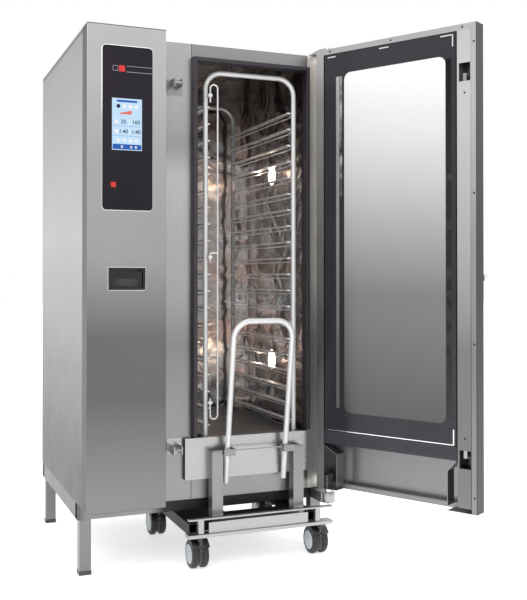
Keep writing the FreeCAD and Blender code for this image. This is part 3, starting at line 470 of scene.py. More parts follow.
FINISHES = {
    "panel": Steel("panel_steel", bands=FRONT_BANDS, roughness=0.32, contrast=0.12),
    "jamb": Steel("jamb_steel", bands=JAMB_BANDS, roughness=0.30, contrast=0.12),
    "header": Steel("header_steel", tone=0.27, grain=Grain.ACROSS, roughness=0.32, contrast=0.12),
    "painted_light_jamb": Steel("painted_light_jamb_steel", bands=PAINTED_LIGHT_JAMB_BANDS, roughness=0.34, contrast=0.12, warm=0.05),
    "side": Steel("side_steel", bands=SIDE_BANDS, roughness=0.42, contrast=0.05, warm=-0.01,
                  zones=SIDE_ZONES),
    "channel": Steel("channel_steel", bands=CHANNEL_BANDS, roughness=0.32, contrast=0.12),
    "door": Steel("door_steel", bands=DOOR_BANDS, roughness=0.30, contrast=0.12),
    "frame": Steel("frame_steel", tone=0.34, grain=Grain.ACROSS, roughness=0.38),
    # Near-black steel: the dark joints of the front seams and the door's screws, and painted shade on the
    # bottom pan, the chassis side rails and the sheets under and behind the trolley's chassis.
    "shade_and_seam_dark": Steel("shade_and_seam_steel", tone=0.035, grain=Grain.ACROSS, roughness=0.5),
    "base": Steel("base_steel", bands=BASE_BANDS, along="X", span=(-0.64, 0.0), grain=Grain.ACROSS,
                  roughness=0.4),
    "leg": Steel("leg_steel", tone=0.20, grain=Grain.UPRIGHT, roughness=0.30),
    # Mirror steel for the painted sheen on the inner glass.
    "strip": MirrorSteel("painted_sheen_steel", tone=0.46, tint=0.05, roughness=0.12, top_shade=0.7),
    "glint": MirrorSteel("glint_glass", tone=0.035, tint=0.0, roughness=0.12, top_shade=0.5),
    "cavity": MirrorSteel("cavity_steel", tone=0.54, tint=0.42, roughness=0.14),
    "baffle": MirrorSteel("baffle_steel", tone=0.30, tint=0.02, roughness=0.34),
    "tube": Steel("tube_steel", tone=0.60, roughness=0.40, contrast=0.10, brushing=0.05, metallic=0.35),
    "wire": Steel("wire_steel", tone=0.80, grain=Grain.DEEP, roughness=0.28, contrast=0.05, brushing=0.04,
                  metallic=0.6),
    "apron": Steel("apron_steel", tone=0.34, grain=Grain.ACROSS, roughness=0.26, contrast=0.2, waviness=2.0,
                   brushing=0.3),
    "chassis": Steel("chassis_steel", tone=0.38, grain=Grain.ACROSS, roughness=0.34, contrast=0.16),
    "post": Steel("post_steel", tone=0.24, grain=Grain.UPRIGHT, roughness=0.34, contrast=0.16),
    "polished": Steel("polished_steel", tone=0.74, grain=Grain.NONE, roughness=0.12, contrast=0.04,
                      brushing=0.02),
    "heater": Steel("heater_steel", tone=0.22, grain=Grain.NONE, roughness=0.4, warm=0.12),
    "brass": Steel("turned_brass", tone=0.45, grain=Grain.NONE, roughness=0.3, warm=0.38),
    "black_glass": PrintedGlass("black_printed_glass", (0.018, 0.016, 0.020)),
    "control_glass": PrintedGlass("control_printed_glass", (0.008, 0.0065, 0.009), 0.16),
    "hook": Steel("hook_steel", tone=0.30, grain=Grain.NONE, roughness=0.22, contrast=0.04, brushing=0.02),
    "gasket": Moulded("gasket_rubber", (0.011, 0.008, 0.015), 0.5),
    "drip": Moulded("drip_plastic", (0.020, 0.016, 0.026), 0.42),
    "black": Moulded("black_plastic", (0.006, 0.005, 0.007), 0.28, coat=0.25),
    "gloss": Moulded("gloss_plastic", (0.003, 0.0025, 0.0035), 0.10, 0.02),
    "caster": Moulded("caster_plastic", (0.011, 0.010, 0.012), 0.30, coat=0.25),
    "tread": Moulded("tread_rubber", (0.007, 0.0065, 0.008), 0.50, 0.3, 420.0),
    "hub": Moulded("hub_plastic", (0.42, 0.46, 0.49), 0.40),
    "foot": Moulded("foot_plastic", (0.045, 0.042, 0.042), 0.5),
    "motor": Moulded("motor_paint", (0.03, 0.03, 0.033), 0.4),
    "wool": Wool("mineral_wool"),
    "lamp": Glow("lamp_glow", (1.0, 0.80, 0.62), 7.0),
    "screen": Glow("screen_field", (0.52, 0.72, 0.92), 0.95, 0.12),
    "screen_blue": Glow("screen_blue", (0.02, 0.12, 0.50), 0.8, 0.12),
    "screen_white": Glow("screen_white", (0.92, 0.94, 0.96), 0.85, 0.12),
    "screen_dark": Glow("screen_dark", (0.03, 0.03, 0.08), 0.5, 0.12),
    "screen_red": Glow("screen_red", (0.90, 0.10, 0.03), 0.85, 0.12),
    "red": Moulded("red_print", (0.40, 0.010, 0.008), 0.3, 0.02),
    "print": Moulded("pale_print", (0.34, 0.34, 0.36), 0.4),
    "window_inner": Pane("inner_window", INNER_BANDS, (0.53, 1.745), 0.90),
    "window_outer": Pane("outer_window", ((0.0, 0.10), (0.5, 0.22), (1.0, 0.45)), (0.50, 1.79), 0.90),
}


class Paintshop:
    """Makes each finish once and hands it out."""

    def __init__(self) -> None:
        """Start with no materials made."""
        self.made: dict[str, bpy.types.Material] = {}

    def get(self, name: str) -> bpy.types.Material:
        """The material of a finish, by its short name."""
        if name not in self.made:
            self.made[name] = FINISHES[name].make()
        return self.made[name]


# ------------------------------------------------------------------ places and meshes

@dataclass(frozen=True)
class Space:
    """Where drawings in millimetres lie in the row frame."""

    matrix: Matrix

    def at(self, x: float, y: float, z: float) -> Vector:
        """A drawn point in the row frame."""
        return self.matrix @ Vector((x, y, z))

    def local(self, *steps: Matrix) -> "Space":
        """A space that is moved further by some matrices."""
        matrix = self.matrix
        for step in steps:
            matrix = matrix @ step
        return Space(matrix)


@dataclass(frozen=True)
class Box:
    """A CAD node's box, in drawing millimetres."""

    low: Vector
    high: Vector

    @property
    def mid(self) -> Vector:
        """Its middle."""
        return (self.low + self.high) / 2

    @property
    def size(self) -> Vector:
        """Its extents."""
        return self.high - self.low


def turn(axis: str, degrees: float) -> Matrix:
    """Rotation about X, Y or Z."""
    return Matrix.Rotation(math.radians(degrees), 4, axis)


def shift(x: float, y: float, z: float) -> Matrix:
    """Translation."""
    return Matrix.Translation((x, y, z))


class Bench:
    """Builds meshes and places them on their bodies."""

    def __init__(self, shop: Paintshop) -> None:
        """Start with a paintshop."""
        self.shop = shop
        self.count = 0

    def finish(self, name: str, mesh: bmesh.types.BMesh, space: Space, body: str, coat: str, slot: str,
               smooth: float = 35.0, stands_for: Iterable[str] = ()) -> bpy.types.Object:
        """Turn a drawing into a placed piece.

        Args:
            name: the piece's name.
            mesh: the drawing, in millimetres. It is freed.
            space: where the drawing lies.
            body: CAD body that it rides on.
            coat: finish.
            slot: the record's material slot; not used.
            smooth: sharpest angle that is shaded smooth, in degrees.
            stands_for: CAD nodes that it replaces.

        Returns:
            The piece.
        """
        bmesh.ops.transform(mesh, matrix=space.matrix, verts=mesh.verts)
        bmesh.ops.recalc_face_normals(mesh, faces=mesh.faces)
        data = bpy.data.meshes.new(name)
        mesh.to_mesh(data)
        mesh.free()
        for polygon in data.polygons:
            polygon.use_smooth = True
        piece = bpy.data.objects.new(name, data)
        bpy.context.scene.collection.objects.link(piece)
        data.set_sharp_from_angle(angle=math.radians(smooth))
        data.materials.append(self.shop.get(coat))
        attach(piece, body)
        for node in stands_for:
            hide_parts(node)
        self.count += 1
        return piece

    @staticmethod
    def rounded(wide: float, high: float, radius: float, steps: int = 6) -> list[tuple[float, float]]:
        """Outline of a rounded rectangle about the origin, anticlockwise."""
        radius = min(radius, wide / 2 - 1e-3, high / 2 - 1e-3)
        points = []
        for cx, cy, start in ((1, 1, 0), (-1, 1, 90), (-1, -1, 180), (1, -1, 270)):
            for step in range(steps + 1):
                angle = math.radians(start + 90 * step / steps)
                points.append((cx * (wide / 2 - radius) + radius * math.cos(angle),
                               cy * (high / 2 - radius) + radius * math.sin(angle)))
        return points

    @staticmethod
    def prism(outline: Sequence[tuple[float, float]], depth: float, edge: float = 0.4) -> bmesh.types.BMesh:
        """Plate in the x-z plane whose face looks along -y, with softened front edges.

        Args:
            outline: corners as (x, z).
            depth: thickness, towards +y.
            edge: width of the softened edge.

        Returns:
            The mesh, with its front at y 0.
        """
        mesh = bmesh.new()
        front = [mesh.verts.new((x, 0, z)) for x, z in outline]
        face = mesh.faces.new(front)
        pushed = bmesh.ops.extrude_face_region(mesh, geom=[face])["geom"]
        moved = [item for item in pushed if isinstance(item, bmesh.types.BMVert)]
        bmesh.ops.translate(mesh, vec=(0, depth, 0), verts=moved)
        if edge > 0:
            rim = [e for e in mesh.edges if all(abs(v.co.y) < 1e-6 for v in e.verts)]
            bmesh.ops.bevel(mesh, geom=rim, offset=edge, segments=2, profile=0.5, affect="EDGES")
        return mesh

    @staticmethod
    def lathe(profile: Sequence[tuple[float, float]], segments: int = 32) -> bmesh.types.BMesh:
        """Turned shape about the y axis, from (radius, y) points."""
        mesh = bmesh.new()
        rings = []
        for radius, along in profile:
            if radius < 1e-6:
                rings.append([mesh.verts.new((0, along, 0))])
                continue
            rings.append([mesh.verts.new((radius * math.cos(2 * math.pi * s / segments), along,
                                          radius * math.sin(2 * math.pi * s / segments)))
                          for s in range(segments)])
        for one, other in zip(rings, rings[1:]):
            for s in range(segments):
                t = (s + 1) % segments
                corners = [one[s % len(one)], one[t % len(one)], other[t % len(other)], other[s % len(other)]]
                unique = list(dict.fromkeys(corners))
                if len(unique) > 2:
                    mesh.faces.new(unique)
        return mesh

    @staticmethod
    def tube(path: Sequence[Point], radius: float, bend: float = 0.0, sides: int = 14) -> bmesh.types.BMesh:
        """Round bar along straight runs with rounded corners.

        Args:
            path: points in millimetres.
            radius: of the bar.
            bend: radius of the corners.
            sides: of its section.

        Returns:
            The mesh, closed at both ends.
        """
        spine = Bench.bent([Vector(p) for p in path], bend)
        mesh = bmesh.new()
        rings, normal = [], None
        for index, here in enumerate(spine):
            before, after = spine[max(index - 1, 0)], spine[min(index + 1, len(spine) - 1)]
            along = (after - before).normalized()
            if normal is None:
                normal = along.orthogonal().normalized()
            normal = (normal - along * normal.dot(along)).normalized()
            side = along.cross(normal)
            rings.append([mesh.verts.new(here + radius * (math.cos(a) * normal + math.sin(a) * side))
                          for a in (2 * math.pi * s / sides for s in range(sides))])
        for one, other in zip(rings, rings[1:]):
            for s in range(sides):
                t = (s + 1) % sides
                mesh.faces.new((one[s], one[t], other[t], other[s]))
        mesh.faces.new(rings[0][::-1])
        mesh.faces.new(rings[-1])
        return mesh

    @staticmethod
    def bent(points: list[Vector], radius: float) -> list[Vector]:
        """A path with its corners rounded."""
        if radius <= 0:
            return points
        spine = [points[0]]
        for before, here, after in zip(points, points[1:], points[2:]):
            back, ahead = (before - here).normalized(), (after - here).normalized()
            half = back.angle(ahead) / 2
            reach = radius / math.tan(half)
            start, stop = here + back * reach, here + ahead * reach
            centre = here + (back + ahead).normalized() * (radius / math.sin(half))
            for step in range(9):
                point = start.lerp(stop, step / 8)
                spine.append(centre + (point - centre).normalized() * radius)
        return spine + [points[-1]]

    @staticmethod
    def merge(*meshes: bmesh.types.BMesh) -> bmesh.types.BMesh:
        """Several drawings in one mesh."""
        whole = bmesh.new()
        for mesh in meshes:
            data = bpy.data.meshes.new("part")
            mesh.to_mesh(data)
            mesh.free()
            whole.from_mesh(data)
            bpy.data.meshes.remove(data)
        return whole

    def bar(self, radius: float, start: float, stop: float, segments: int) -> bmesh.types.BMesh:
        """Round bar along y."""
        return self.lathe([(0, start), (radius, start), (radius, stop), (0, stop)], segments)

    def sheet(self, left: float, low: float, wide: float, high: float, front: float,
              depth: float) -> bmesh.types.BMesh:
        """Sharp rectangular sheet that faces -y.

        Args:
            left: its left edge.
            low: its lower edge.
            wide: width.
            high: height.
            front: its face's y.
            depth: thickness, towards +y.

        Returns:
            The mesh.
        """
        outline = [(left, low), (left + wide, low), (left + wide, low + high), (left, low + high)]
        return self.moved(self.prism(outline, depth, 0.0), shift(0, front, 0))

    def tag(self, wide: float, high: float, radius: float, depth: float, spot: Point) -> bmesh.types.BMesh:
        """Thin plate with rounded corners about a spot on its face."""
        return self.moved(self.prism(self.rounded(wide, high, radius), depth, 0.0), shift(*spot))

    def moved(self, mesh: bmesh.types.BMesh, *steps: Matrix) -> bmesh.types.BMesh:
        """A drawing after some moves."""
        for step in steps:
            bmesh.ops.transform(mesh, matrix=step, verts=mesh.verts)
        return mesh

    def screw(self, radius: float = 4.0) -> bmesh.types.BMesh:
        """Pan-head screw with a cross recess ring, its head towards -y."""
        return self.lathe([(0, -0.9), (radius * 0.34, -0.9), (radius * 0.40, -1.6), (radius * 0.72, -1.5),
                           (radius, -0.6), (radius, 0.4), (0, 0.4)], 20)


@dataclass
class SubAssembly:
    """One group of pieces. Subclasses hold their sizes as fields."""

    bench: Bench
    cabinet: Space
    door: Space
    frame: dict[str, Any] = field(repr=False)

    def build(self) -> None:
        """Make the group's pieces."""
        raise NotImplementedError

    def placed(self, node: str) -> Box:
        """Box of a node of the cabinet or the trolley."""
        back = self.cabinet.matrix.inverted()
        low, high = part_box(node)
        return Box(back @ low, back @ high)

    def closed(self, node: str) -> Box:
        """Box of a node of the door as it lies with the door closed."""
        back = self.door.matrix.inverted()
        points = [back @ vert.co for vert in self.frame["nodes"][node].data.vertices]
        return Box(Vector([min(point[k] for point in points) for k in range(3)]),
                   Vector([max(point[k] for point in points) for k in range(3)]))

    def dress(self, node: str, coat: str, edge: float = 0.0) -> None:
        """Give a CAD node its finish, and soften its sharp edges.

        Args:
            node: name of the CAD node.
            coat: finish.
            edge: width of the softened edges in millimetres, 0 for none.
        """
        piece = self.frame["nodes"][node]
        piece.data.materials.clear()
        piece.data.materials.append(self.bench.shop.get(coat))
        if edge > 0:
            weld = piece.modifiers.new("weld", "WELD")
            weld.merge_threshold = 1e-5
            bevel = piece.modifiers.new("soft_edges", "BEVEL")
            bevel.width, bevel.segments = edge / 1000, 2
            bevel.limit_method, bevel.angle_limit = "ANGLE", math.radians(40)
            bevel.harden_normals = True
        LOG.info("dressed %s with %s", node, coat)


# ------------------------------------------------------------------ cabinet

@dataclass
class Cabinet(SubAssembly):
    """Outer panels, base and the back of the cabinet."""

    seam_wide: float = 9.0

    def build(self) -> None:
        """Dress the panels and add the seams and the screws."""
        for node, coat, edge in (
            ("base_frame", "base", 0), ("legs", "leg", 0.8), ("leg_end_caps", "foot", 1.0),
            ("left_side_panel", "side", 0.5), ("right_side_panel", "side", 0.5), ("roof_panel", "side", 0.5),
            # The bottom pan takes the near-black steel: painted shade under the cabinet.
            ("rear_panel", "side", 0), ("bottom_pan", "shade_and_seam_dark", 0), ("column_front_panel", "panel", 1.6),
            # The right jamb takes the brighter copy of the jamb steel: painted light.
            ("front_jamb_left", "jamb", 0.8), ("front_jamb_right", "painted_light_jamb", 0.8),
            ("front_header", "header", 0.6), ("front_sill", "jamb", 0.6), ("steam_generator", "frame", 0),
            ("drain_pipe", "polished", 0), ("water_inlets", "brass", 0), ("cable_gland", "black", 0.6),
            ("hinge_brackets", "chassis", 0.8), ("door_strikers", "hook", 0.6),
            ("hinge_pins", "polished", 0), ("cavity_insulation", "wool", 0), ("fan_motors", "motor", 0.8),
        ):
            self.dress(node, coat, edge)
        self.back_screws()
        self.seams()

    def seams(self) -> None:
        """Dark joints between the jambs, the header and the sill."""
        header, sill, column = (self.placed(node)
                                for node in ("front_header", "front_sill", "column_front_panel"))
        lines = [(x, part.low.z + 1, 1.4, part.size.z - 2)
                 for x in (header.low.x, header.high.x) for part in (header, sill)]
        lines.append((column.high.x + 1.2, sill.low.z + 1, 2.2, header.high.z - sill.low.z - 2))
        strips = [self.bench.sheet(*line, -0.2, 0.2) for line in lines]
        self.bench.finish("front_seams", self.bench.merge(*strips), self.cabinet, "cabinet", "shade_and_seam_dark",
                          "brushed_steel_panels")

    def back_screws(self) -> None:
        """Screws round the edge of the back panel."""
        panel = self.placed("rear_panel")
        margin = 18.0
        left, right = panel.low.x + margin, panel.high.x - margin
        foot, top = panel.low.z + margin, panel.high.z - margin
        spots = [(left + (right - left) * part / 3, z) for part in range(4) for z in (foot, top)]
        spots += [(x, foot + (top - foot) * part / 4) for x in (left, right) for part in (1, 2, 3)]
        heads = [self.bench.moved(self.bench.screw(4.5), turn("Z", 180), shift(x, panel.high.y - 0.3, z))
                 for x, z in spots]
        self.bench.finish("back_screws", self.bench.merge(*heads), self.cabinet, "cabinet", "polished",
                          "latch_steel")


# ------------------------------------------------------------------ control column

@dataclass
class Controls(SubAssembly):
    """Control glass with its bright rim, the display's picture and the service port's cover."""

    glass: Box = field(init=False)
    screen: Box = field(init=False)

    def build(self) -> None:
        """Dress the glass and draw the display."""
        self.glass, self.screen = self.placed("control_glass"), self.placed("touch_screen")
        self.dress("control_glass", "control_glass", 0.6)
        self.dress("touch_screen", "screen")
        self.dress("port_box", "gloss", 0.5)
        self.rim()
        self.display()
        self.marks()
        self.port_cover()

    def rim(self) -> None:
        """Thin bright frame round the glass."""
        outline = self.bench.rounded(self.glass.size.x + 3.0, self.glass.size.z + 3.0, 13.5, 8)
        path = [(x + self.glass.mid.x, self.glass.high.y - 0.9, z + self.glass.mid.z) for x, z in outline]
        mesh = self.bench.tube(path + path[:2], 1.2, 0.0, 8)
        self.bench.finish("glass_rim", mesh, self.cabinet, "cabinet", "polished", "latch_steel")

    def tile(self, name: str, x: float, z: float, wide: float, high: float, radius: float, coat: str,
             lift: float = 0.12) -> None:
        """One flat shape of the display.

        Args:
            name: the piece's name.
            x: its middle, from the screen's left edge.
            z: its middle, from the screen's foot.
            wide: width.
            high: height.
            radius: of its corners.
            coat: finish.
            lift: how far it stands in front of the screen.
        """
        corner = self.screen.low
        mesh = self.bench.tag(wide, high, radius, lift + 0.05, (corner.x + x, corner.y - lift, corner.z + z))
        self.bench.finish(name, mesh, self.cabinet, "cabinet", coat, "screen")

    def number(self, name: str, digits: str, x: float, z: float, size: float) -> None:
        """Plain digits on the display."""
        curve = bpy.data.curves.new(name + "_line", "FONT")
        curve.body, curve.size, curve.extrude, curve.offset = digits, size, 0.03, 0.25
        curve.align_x = curve.align_y = "CENTER"
        holder = bpy.data.objects.new(name + "_line", curve)
        bpy.context.scene.collection.objects.link(holder)
        bpy.context.view_layer.update()
        data = bpy.data.meshes.new_from_object(holder.evaluated_get(bpy.context.evaluated_depsgraph_get()))
        bpy.data.objects.remove(holder)
        mesh = bmesh.new()
        mesh.from_mesh(data)
        bpy.data.meshes.remove(data)
        corner = self.screen.low
        self.bench.moved(mesh, turn("X", 90), shift(corner.x + x, corner.y - 0.15, corner.z + z))
        self.bench.finish(name, mesh, self.cabinet, "cabinet", "screen_dark", "screen")

    def display(self) -> None:
        """Title bar, round buttons, level bar, two rows of values and the foot bar."""
        self.tile("screen_title", 50, 161, 68, 7, 2.5, "screen_blue")
        self.tile("screen_foot", 50, 11, 96, 17, 3, "screen_blue")
        for index, x in enumerate((21, 41, 61, 81)):
            coat = "screen_dark" if index == 0 else "screen_white"
            self.tile(f"screen_button_{index}", x, 144, 13, 13, 6.5, coat)
        for step in range(6):
            high = 4.5 + step * 1.6
            self.tile(f"screen_level_{step}", 29 + step * 6.6, 118 + high / 2, 5.6, high, 0.6, "screen_red")
        for row, z, left, right in (("a", 93, "25", "160"), ("b", 61, "1:40", "1:40")):
            self.tile(f"screen_icon_{row}", 15, z, 11, 12, 2, "screen_white")
            self.number(f"screen_left_{row}", left, 38, z, 18)
            self.number(f"screen_right_{row}", right, 80, z, 18)
            for sign, up in (("up", 6), ("down", -6)):
                self.tile(f"screen_{sign}_{row}", 58, z + up, 6, 4, 1.5, "screen_white")
            self.tile(f"screen_line_{row}", 50, z - 14, 92, 0.8, 0.3, "screen_blue")
        for index, x in enumerate((20, 41, 61, 81)):
            self.tile(f"screen_key_{index}", x, 32, 12, 12, 6, "screen_white")
        for index, x in enumerate((33, 64, 80)):
            self.tile(f"screen_foot_key_{index}", x, 11, 7, 8, 3, "screen_white", 0.2)
            self.tile(f"screen_foot_dot_{index}", x + 1, 12, 3, 3, 1.4, "screen_red", 0.26)

    def marks(self) -> None:
        """Plain printed marks above and below the display."""
        corner = self.glass.low
        for name, x, z, wide, high, coat in (
            ("mark_top_red", 64, 464, 20, 20, "red"), ("mark_top_pale", 42, 464, 17, 17, "print"),
            ("mark_top_dark", 42, 464, 15.4, 15.4, "control_glass"),
            ("mark_low_red", 36, 82, 17, 17, "red"),
            ("mark_line_high", 122, 473, 86, 1.0, "print"), ("mark_line_low", 122, 454, 86, 1.0, "print"),
        ):
            lift = 0.13 if name == "mark_top_dark" else 0.08
            mesh = self.bench.tag(wide, high, 1.5, 0.12, (corner.x + x, corner.y - lift, corner.z + z))
            self.bench.finish(name, mesh, self.cabinet, "cabinet", coat, "control_black_glass")

    def port_cover(self) -> None:
        """Bulging cover of the service port, with its lower lip. It turns with the flap."""
        flap = self.placed("port_flap")
        axis_y, axis_z, left, low = flap.low.y + 2.5, flap.high.z - 2.5, flap.low.x + 3.8, flap.low.z
        mesh = bmesh.new()
        columns, rows, wide, high = 26, 10, 104.0, 45.0
        grid = []
        for i in range(columns + 1):
            u = i / columns
            line = []
            for j in range(rows + 1):
                v = j / rows
                hump = math.exp(-((u - 0.5) / 0.22) ** 2) * math.exp(-((v - 0.55) / 0.30) ** 2)
                line.append(mesh.verts.new((left + wide * u, axis_y + 1.7 - 3.6 * hump, low + high * v)))
            grid.append(line)
        for i in range(columns):
            for j in range(rows):
                mesh.faces.new((grid[i][j], grid[i + 1][j], grid[i + 1][j + 1], grid[i][j + 1]))
        edge = bmesh.ops.extrude_face_region(mesh, geom=list(mesh.faces))["geom"]
        back = [item for item in edge if isinstance(item, bmesh.types.BMVert)]
        for vert in back:
            vert.co.y = axis_y + 3.0
        barrel = self.bench.moved(self.bench.bar(2.5, 0, wide, 18), turn("Z", -90),
                                  shift(left, axis_y, axis_z))
        pin = self.bench.moved(self.bench.bar(1.5, 0, 111.6, 14), turn("Z", -90),
                               shift(flap.low.x, axis_y, axis_z))
        self.bench.finish("port_cover", self.bench.merge(mesh, barrel, pin), self.cabinet, "port_flap",
                          "gloss", "black_plastic", stands_for=["port_flap"])
        lip = self.bench.tube([(left + x, axis_y - 1.6, low - 2.4) for x in (4, 100)], 1.3)
        self.bench.finish("port_lip", lip, self.cabinet, "cabinet", "drip", "black_plastic")
        bezel = self.placed("port_box")
        outline = self.bench.rounded(bezel.size.x + 1.6, bezel.size.z + 1.6, 4.0, 6)
        path = [(x + bezel.mid.x, bezel.low.y + 1.2, z + bezel.mid.z) for x, z in outline]
        self.bench.finish("port_rim", self.bench.tube(path + path[:2], 1.1, 0.0, 8), self.cabinet,
                          "cabinet", "polished", "latch_steel")


# ------------------------------------------------------------------ cavity

@dataclass
class Cavity(SubAssembly):
    """Cavity walls, fans, heaters, lamps and gasket."""

    def build(self) -> None:
        """Dress the cavity and light its lamps."""
        for node, coat, edge in (
            ("cavity_liner", "cavity", 0), ("air_baffle", "baffle", 0), ("heater_rings", "heater", 0),
            ("fan_wheel_lower", "cavity", 0), ("fan_wheel_upper", "cavity", 0), ("lamp_lenses", "lamp", 0),
            ("door_gasket", "gasket", 2.5),
        ):
            self.dress(node, coat, edge)
        lens, liner = self.placed("lamp_lenses"), self.placed("cavity_liner")
        wall, radius = liner.high.x - 2, lens.size.y / 2
        for index, z in enumerate((lens.low.z + radius, lens.high.z - radius)):
            ring = self.bench.moved(
                self.bench.lathe([(38.3, 0), (38.3, -7), (41, -8), (45, -6), (46, -0.2), (38.3, -0.2)], 40),
                turn("Z", -90), shift(wall, lens.mid.y, z))
            self.bench.finish(f"lamp_ring_{index}", ring, self.cabinet, "cabinet", "hook", "latch_steel")
            light = bpy.data.lights.new(f"lamp_light_{index}", "POINT")
            light.energy, light.color, light.shadow_soft_size = 1.3, (1.0, 0.70, 0.55), 0.02
            holder = bpy.data.objects.new(f"lamp_light_{index}", light)
            bpy.context.scene.collection.objects.link(holder)
            holder.location = self.cabinet.at(wall - 66, lens.mid.y, z)
            holder.visible_glossy = False
        self.guard_rings()

    def guard_rings(self) -> None:
        """Wire guards over the fan windows in the baffle."""
        face = self.placed("air_baffle").high.x + 1.5
        for name, wheel in (("low", "fan_wheel_lower"), ("high", "fan_wheel_upper")):
            wires, middle = [], self.placed(wheel).mid
            for radius in (30.0, 60.0, 90.0, 119.0):
                path = [(face, middle.y + radius * math.cos(a), middle.z + radius * math.sin(a))
                        for a in (2 * math.pi * s / 36 for s in range(38))]
                wires.append(self.bench.tube(path, 1.4, 0.0, 6))
            for degrees in range(0, 180, 45):
                a = math.radians(degrees)
                y, w = 122 * math.cos(a), 122 * math.sin(a)
                ends = [(face + 1.1, middle.y + s * y, middle.z + s * w) for s in (-1, 1)]
                wires.append(self.bench.tube(ends, 1.6, 0.0, 6))
            self.bench.finish(f"fan_guard_{name}", self.bench.merge(*wires), self.cabinet, "cabinet",
                              "wire", "tube_steel")


# ------------------------------------------------------------------ door

@dataclass
class Door(SubAssembly):
    """Outer skin, inner frame, glazing, lock channel and drip channel."""

    skin: Box = field(init=False)

    def build(self) -> None:
        """Dress the door's nodes and add the glass, clips, screws and ribs."""
        self.skin = self.closed("door_outer_skin")
        self.shade_free_edge()
        for node, coat, edge in (
            ("door_outer_skin", "door", 0), ("door_inner_frame", "door", 0), ("lock_channel", "channel", 0),
            ("drip_channel", "drip", 0.4), ("door_handle", "polished", 0.8), ("latch_pinion", "polished", 0),
            ("upper_latch_rod", "hook", 0), ("lower_latch_rod", "hook", 0),
        ):
            self.dress(node, coat, edge)
        self.outer_glass()
        self.inner_glass()
        self.slot_shade_sheets()
        self.clips()
        self.screws()
        self.ribs()

    def shade_free_edge(self) -> None:
        """Paint shade on the door's steel on the edge that faces away from the hinge."""
        free, hinged = (self.door.at(x, 0, 0) for x in (self.skin.low.x, self.skin.high.x))
        across = (free - hinged).normalized()
        edge = across.dot(free)
        zone = Zone(tuple(across), edge - EDGE_SHEET, edge + EDGE_REACH, (0.13, 0.125, 0.13), 0.0004)
        FINISHES["door"] = replace(FINISHES["door"], zones=(zone,))

    def framed(self, corner: Vector, wide: float, high: float, depth: float, border: Sequence[float],
               radius: float) -> tuple[bmesh.types.BMesh, bmesh.types.BMesh]:
        """A glass plate as a printed border and a clear window.

        Args:
            corner: its lowest corner.
            wide: width.
            high: height.
            depth: thickness, towards +y.
            border: width of the print on the left, right, foot and top.
            radius: of the window's corners.

        Returns:
            The border and the window.
        """
        left, y, low = corner
        inner_wide, inner_high = wide - border[0] - border[1], high - border[2] - border[3]
        cx, cz = left + border[0] + inner_wide / 2, low + border[2] + inner_high / 2
        hole = [(x + cx, z + cz) for x, z in self.bench.rounded(inner_wide, inner_high, radius, 8)]
        outer_mid = (left + wide / 2, low + high / 2)
        rim = [(x + outer_mid[0], z + outer_mid[1]) for x, z in self.bench.rounded(wide, high, 4, 8)]
        mesh = bmesh.new()
        rings = [[mesh.verts.new((x, y + d, z)) for x, z in line]
                 for line, d in ((hole, 0), (rim, 0), (rim, depth), (hole, depth))]
        count = len(hole)
        for one, other in zip(rings, rings[1:] + rings[:1]):
            for s in range(count):
                t = (s + 1) % count
                mesh.faces.new((one[s], one[t], other[t], other[s]))
        window = self.bench.moved(self.bench.prism(hole, depth - 0.6, 0.0), shift(0, y + 0.3, 0))
        return mesh, window

    def outer_glass(self) -> None:
        """Front glass."""
        pane = self.closed("door_outer_glass")
        border, window = self.framed(pane.low, pane.size.x, pane.size.z, pane.size.y, (46, 54, 60, 50), 24)
        self.bench.finish("outer_glass_print", border, self.door, "door", "black_glass",
                          "control_black_glass", stands_for=["door_outer_glass"])
        self.bench.finish("outer_glass_window", window, self.door, "door", "window_outer", "door_glass")

    def inner_glass(self) -> None:
        """Hinged inner glass with its printed border, the bright strip beside its hinge and a painted sheen
        beside that strip.
        """
        pane, thick, wide = self.closed("inner_glass"), 6.0, 522.0
        face, left, foot, top = pane.high.y, pane.low.x, pane.low.z, pane.high.z
        border, window = self.framed(Vector((left, face - thick, foot)), wide, pane.size.z, thick,
                                     (37.5, 84.5, 69, 74), 26)
        pivot = (pane.high.x - 3.6, pane.low.y + 3.6)
        ends = (foot + 2, top - 44)
        barrels = [self.bench.moved(self.bench.bar(3.6, 0, 12, 24), turn("X", 90), shift(*pivot, z + 12))
                   for z in ends]
        tabs = [self.bench.sheet(pivot[0] - 2.5, z, 5, 12, pivot[1], 4.7) for z in ends]
        self.bench.finish("glass_barrels", self.bench.merge(*barrels, *tabs), self.door, "inner_glass",
                          "polished", "latch_steel")
        self.bench.finish("inner_glass_print", border, self.door, "inner_glass", "black_glass",
                          "door_glass", stands_for=["inner_glass"])
        self.bench.finish("inner_glass_window", window, self.door, "inner_glass", "window_inner",
                          "door_glass")
        low, high = foot + 84, top - 84
        # glass_sheen is a painted reflection: a mirror-steel sheet on the upper part of the glass's printed
        # border.
        for name, near, far, start, coat in (("glass_strip", 458.5, 471.5, low, "channel"),
                                             ("glass_sheen", 446.0, 457.5, high - 430, "strip")):
            mesh = self.bench.sheet(left + near, start, far - near, high - start, face - 0.1, 0.6)
            self.bench.finish(name, mesh, self.door, "inner_glass", coat, "brushed_steel_panels")
        mesh = self.bench.sheet(left + 16.5, low, 18, high - low, face - 0.2, 0.4)
        self.bench.finish("glass_edge", mesh, self.door, "inner_glass", "glint", "door_glass")

    def slot_shade_sheets(self) -> None:
        """Near-black sheets behind the lock channel's two slots: painted shade inside the slots."""
        channel = self.closed("lock_channel")
        sheets = [self.bench.sheet(channel.low.x + 2, low, channel.size.x - 4, high, channel.low.y + 1.8, 0.8)
                  for low, high in ((channel.high.z - 191, 110), (channel.low.z + 108, 100))]
        self.bench.finish("slot_shade_sheets", self.bench.merge(*sheets), self.door, "door", "black",
                          "black_plastic")

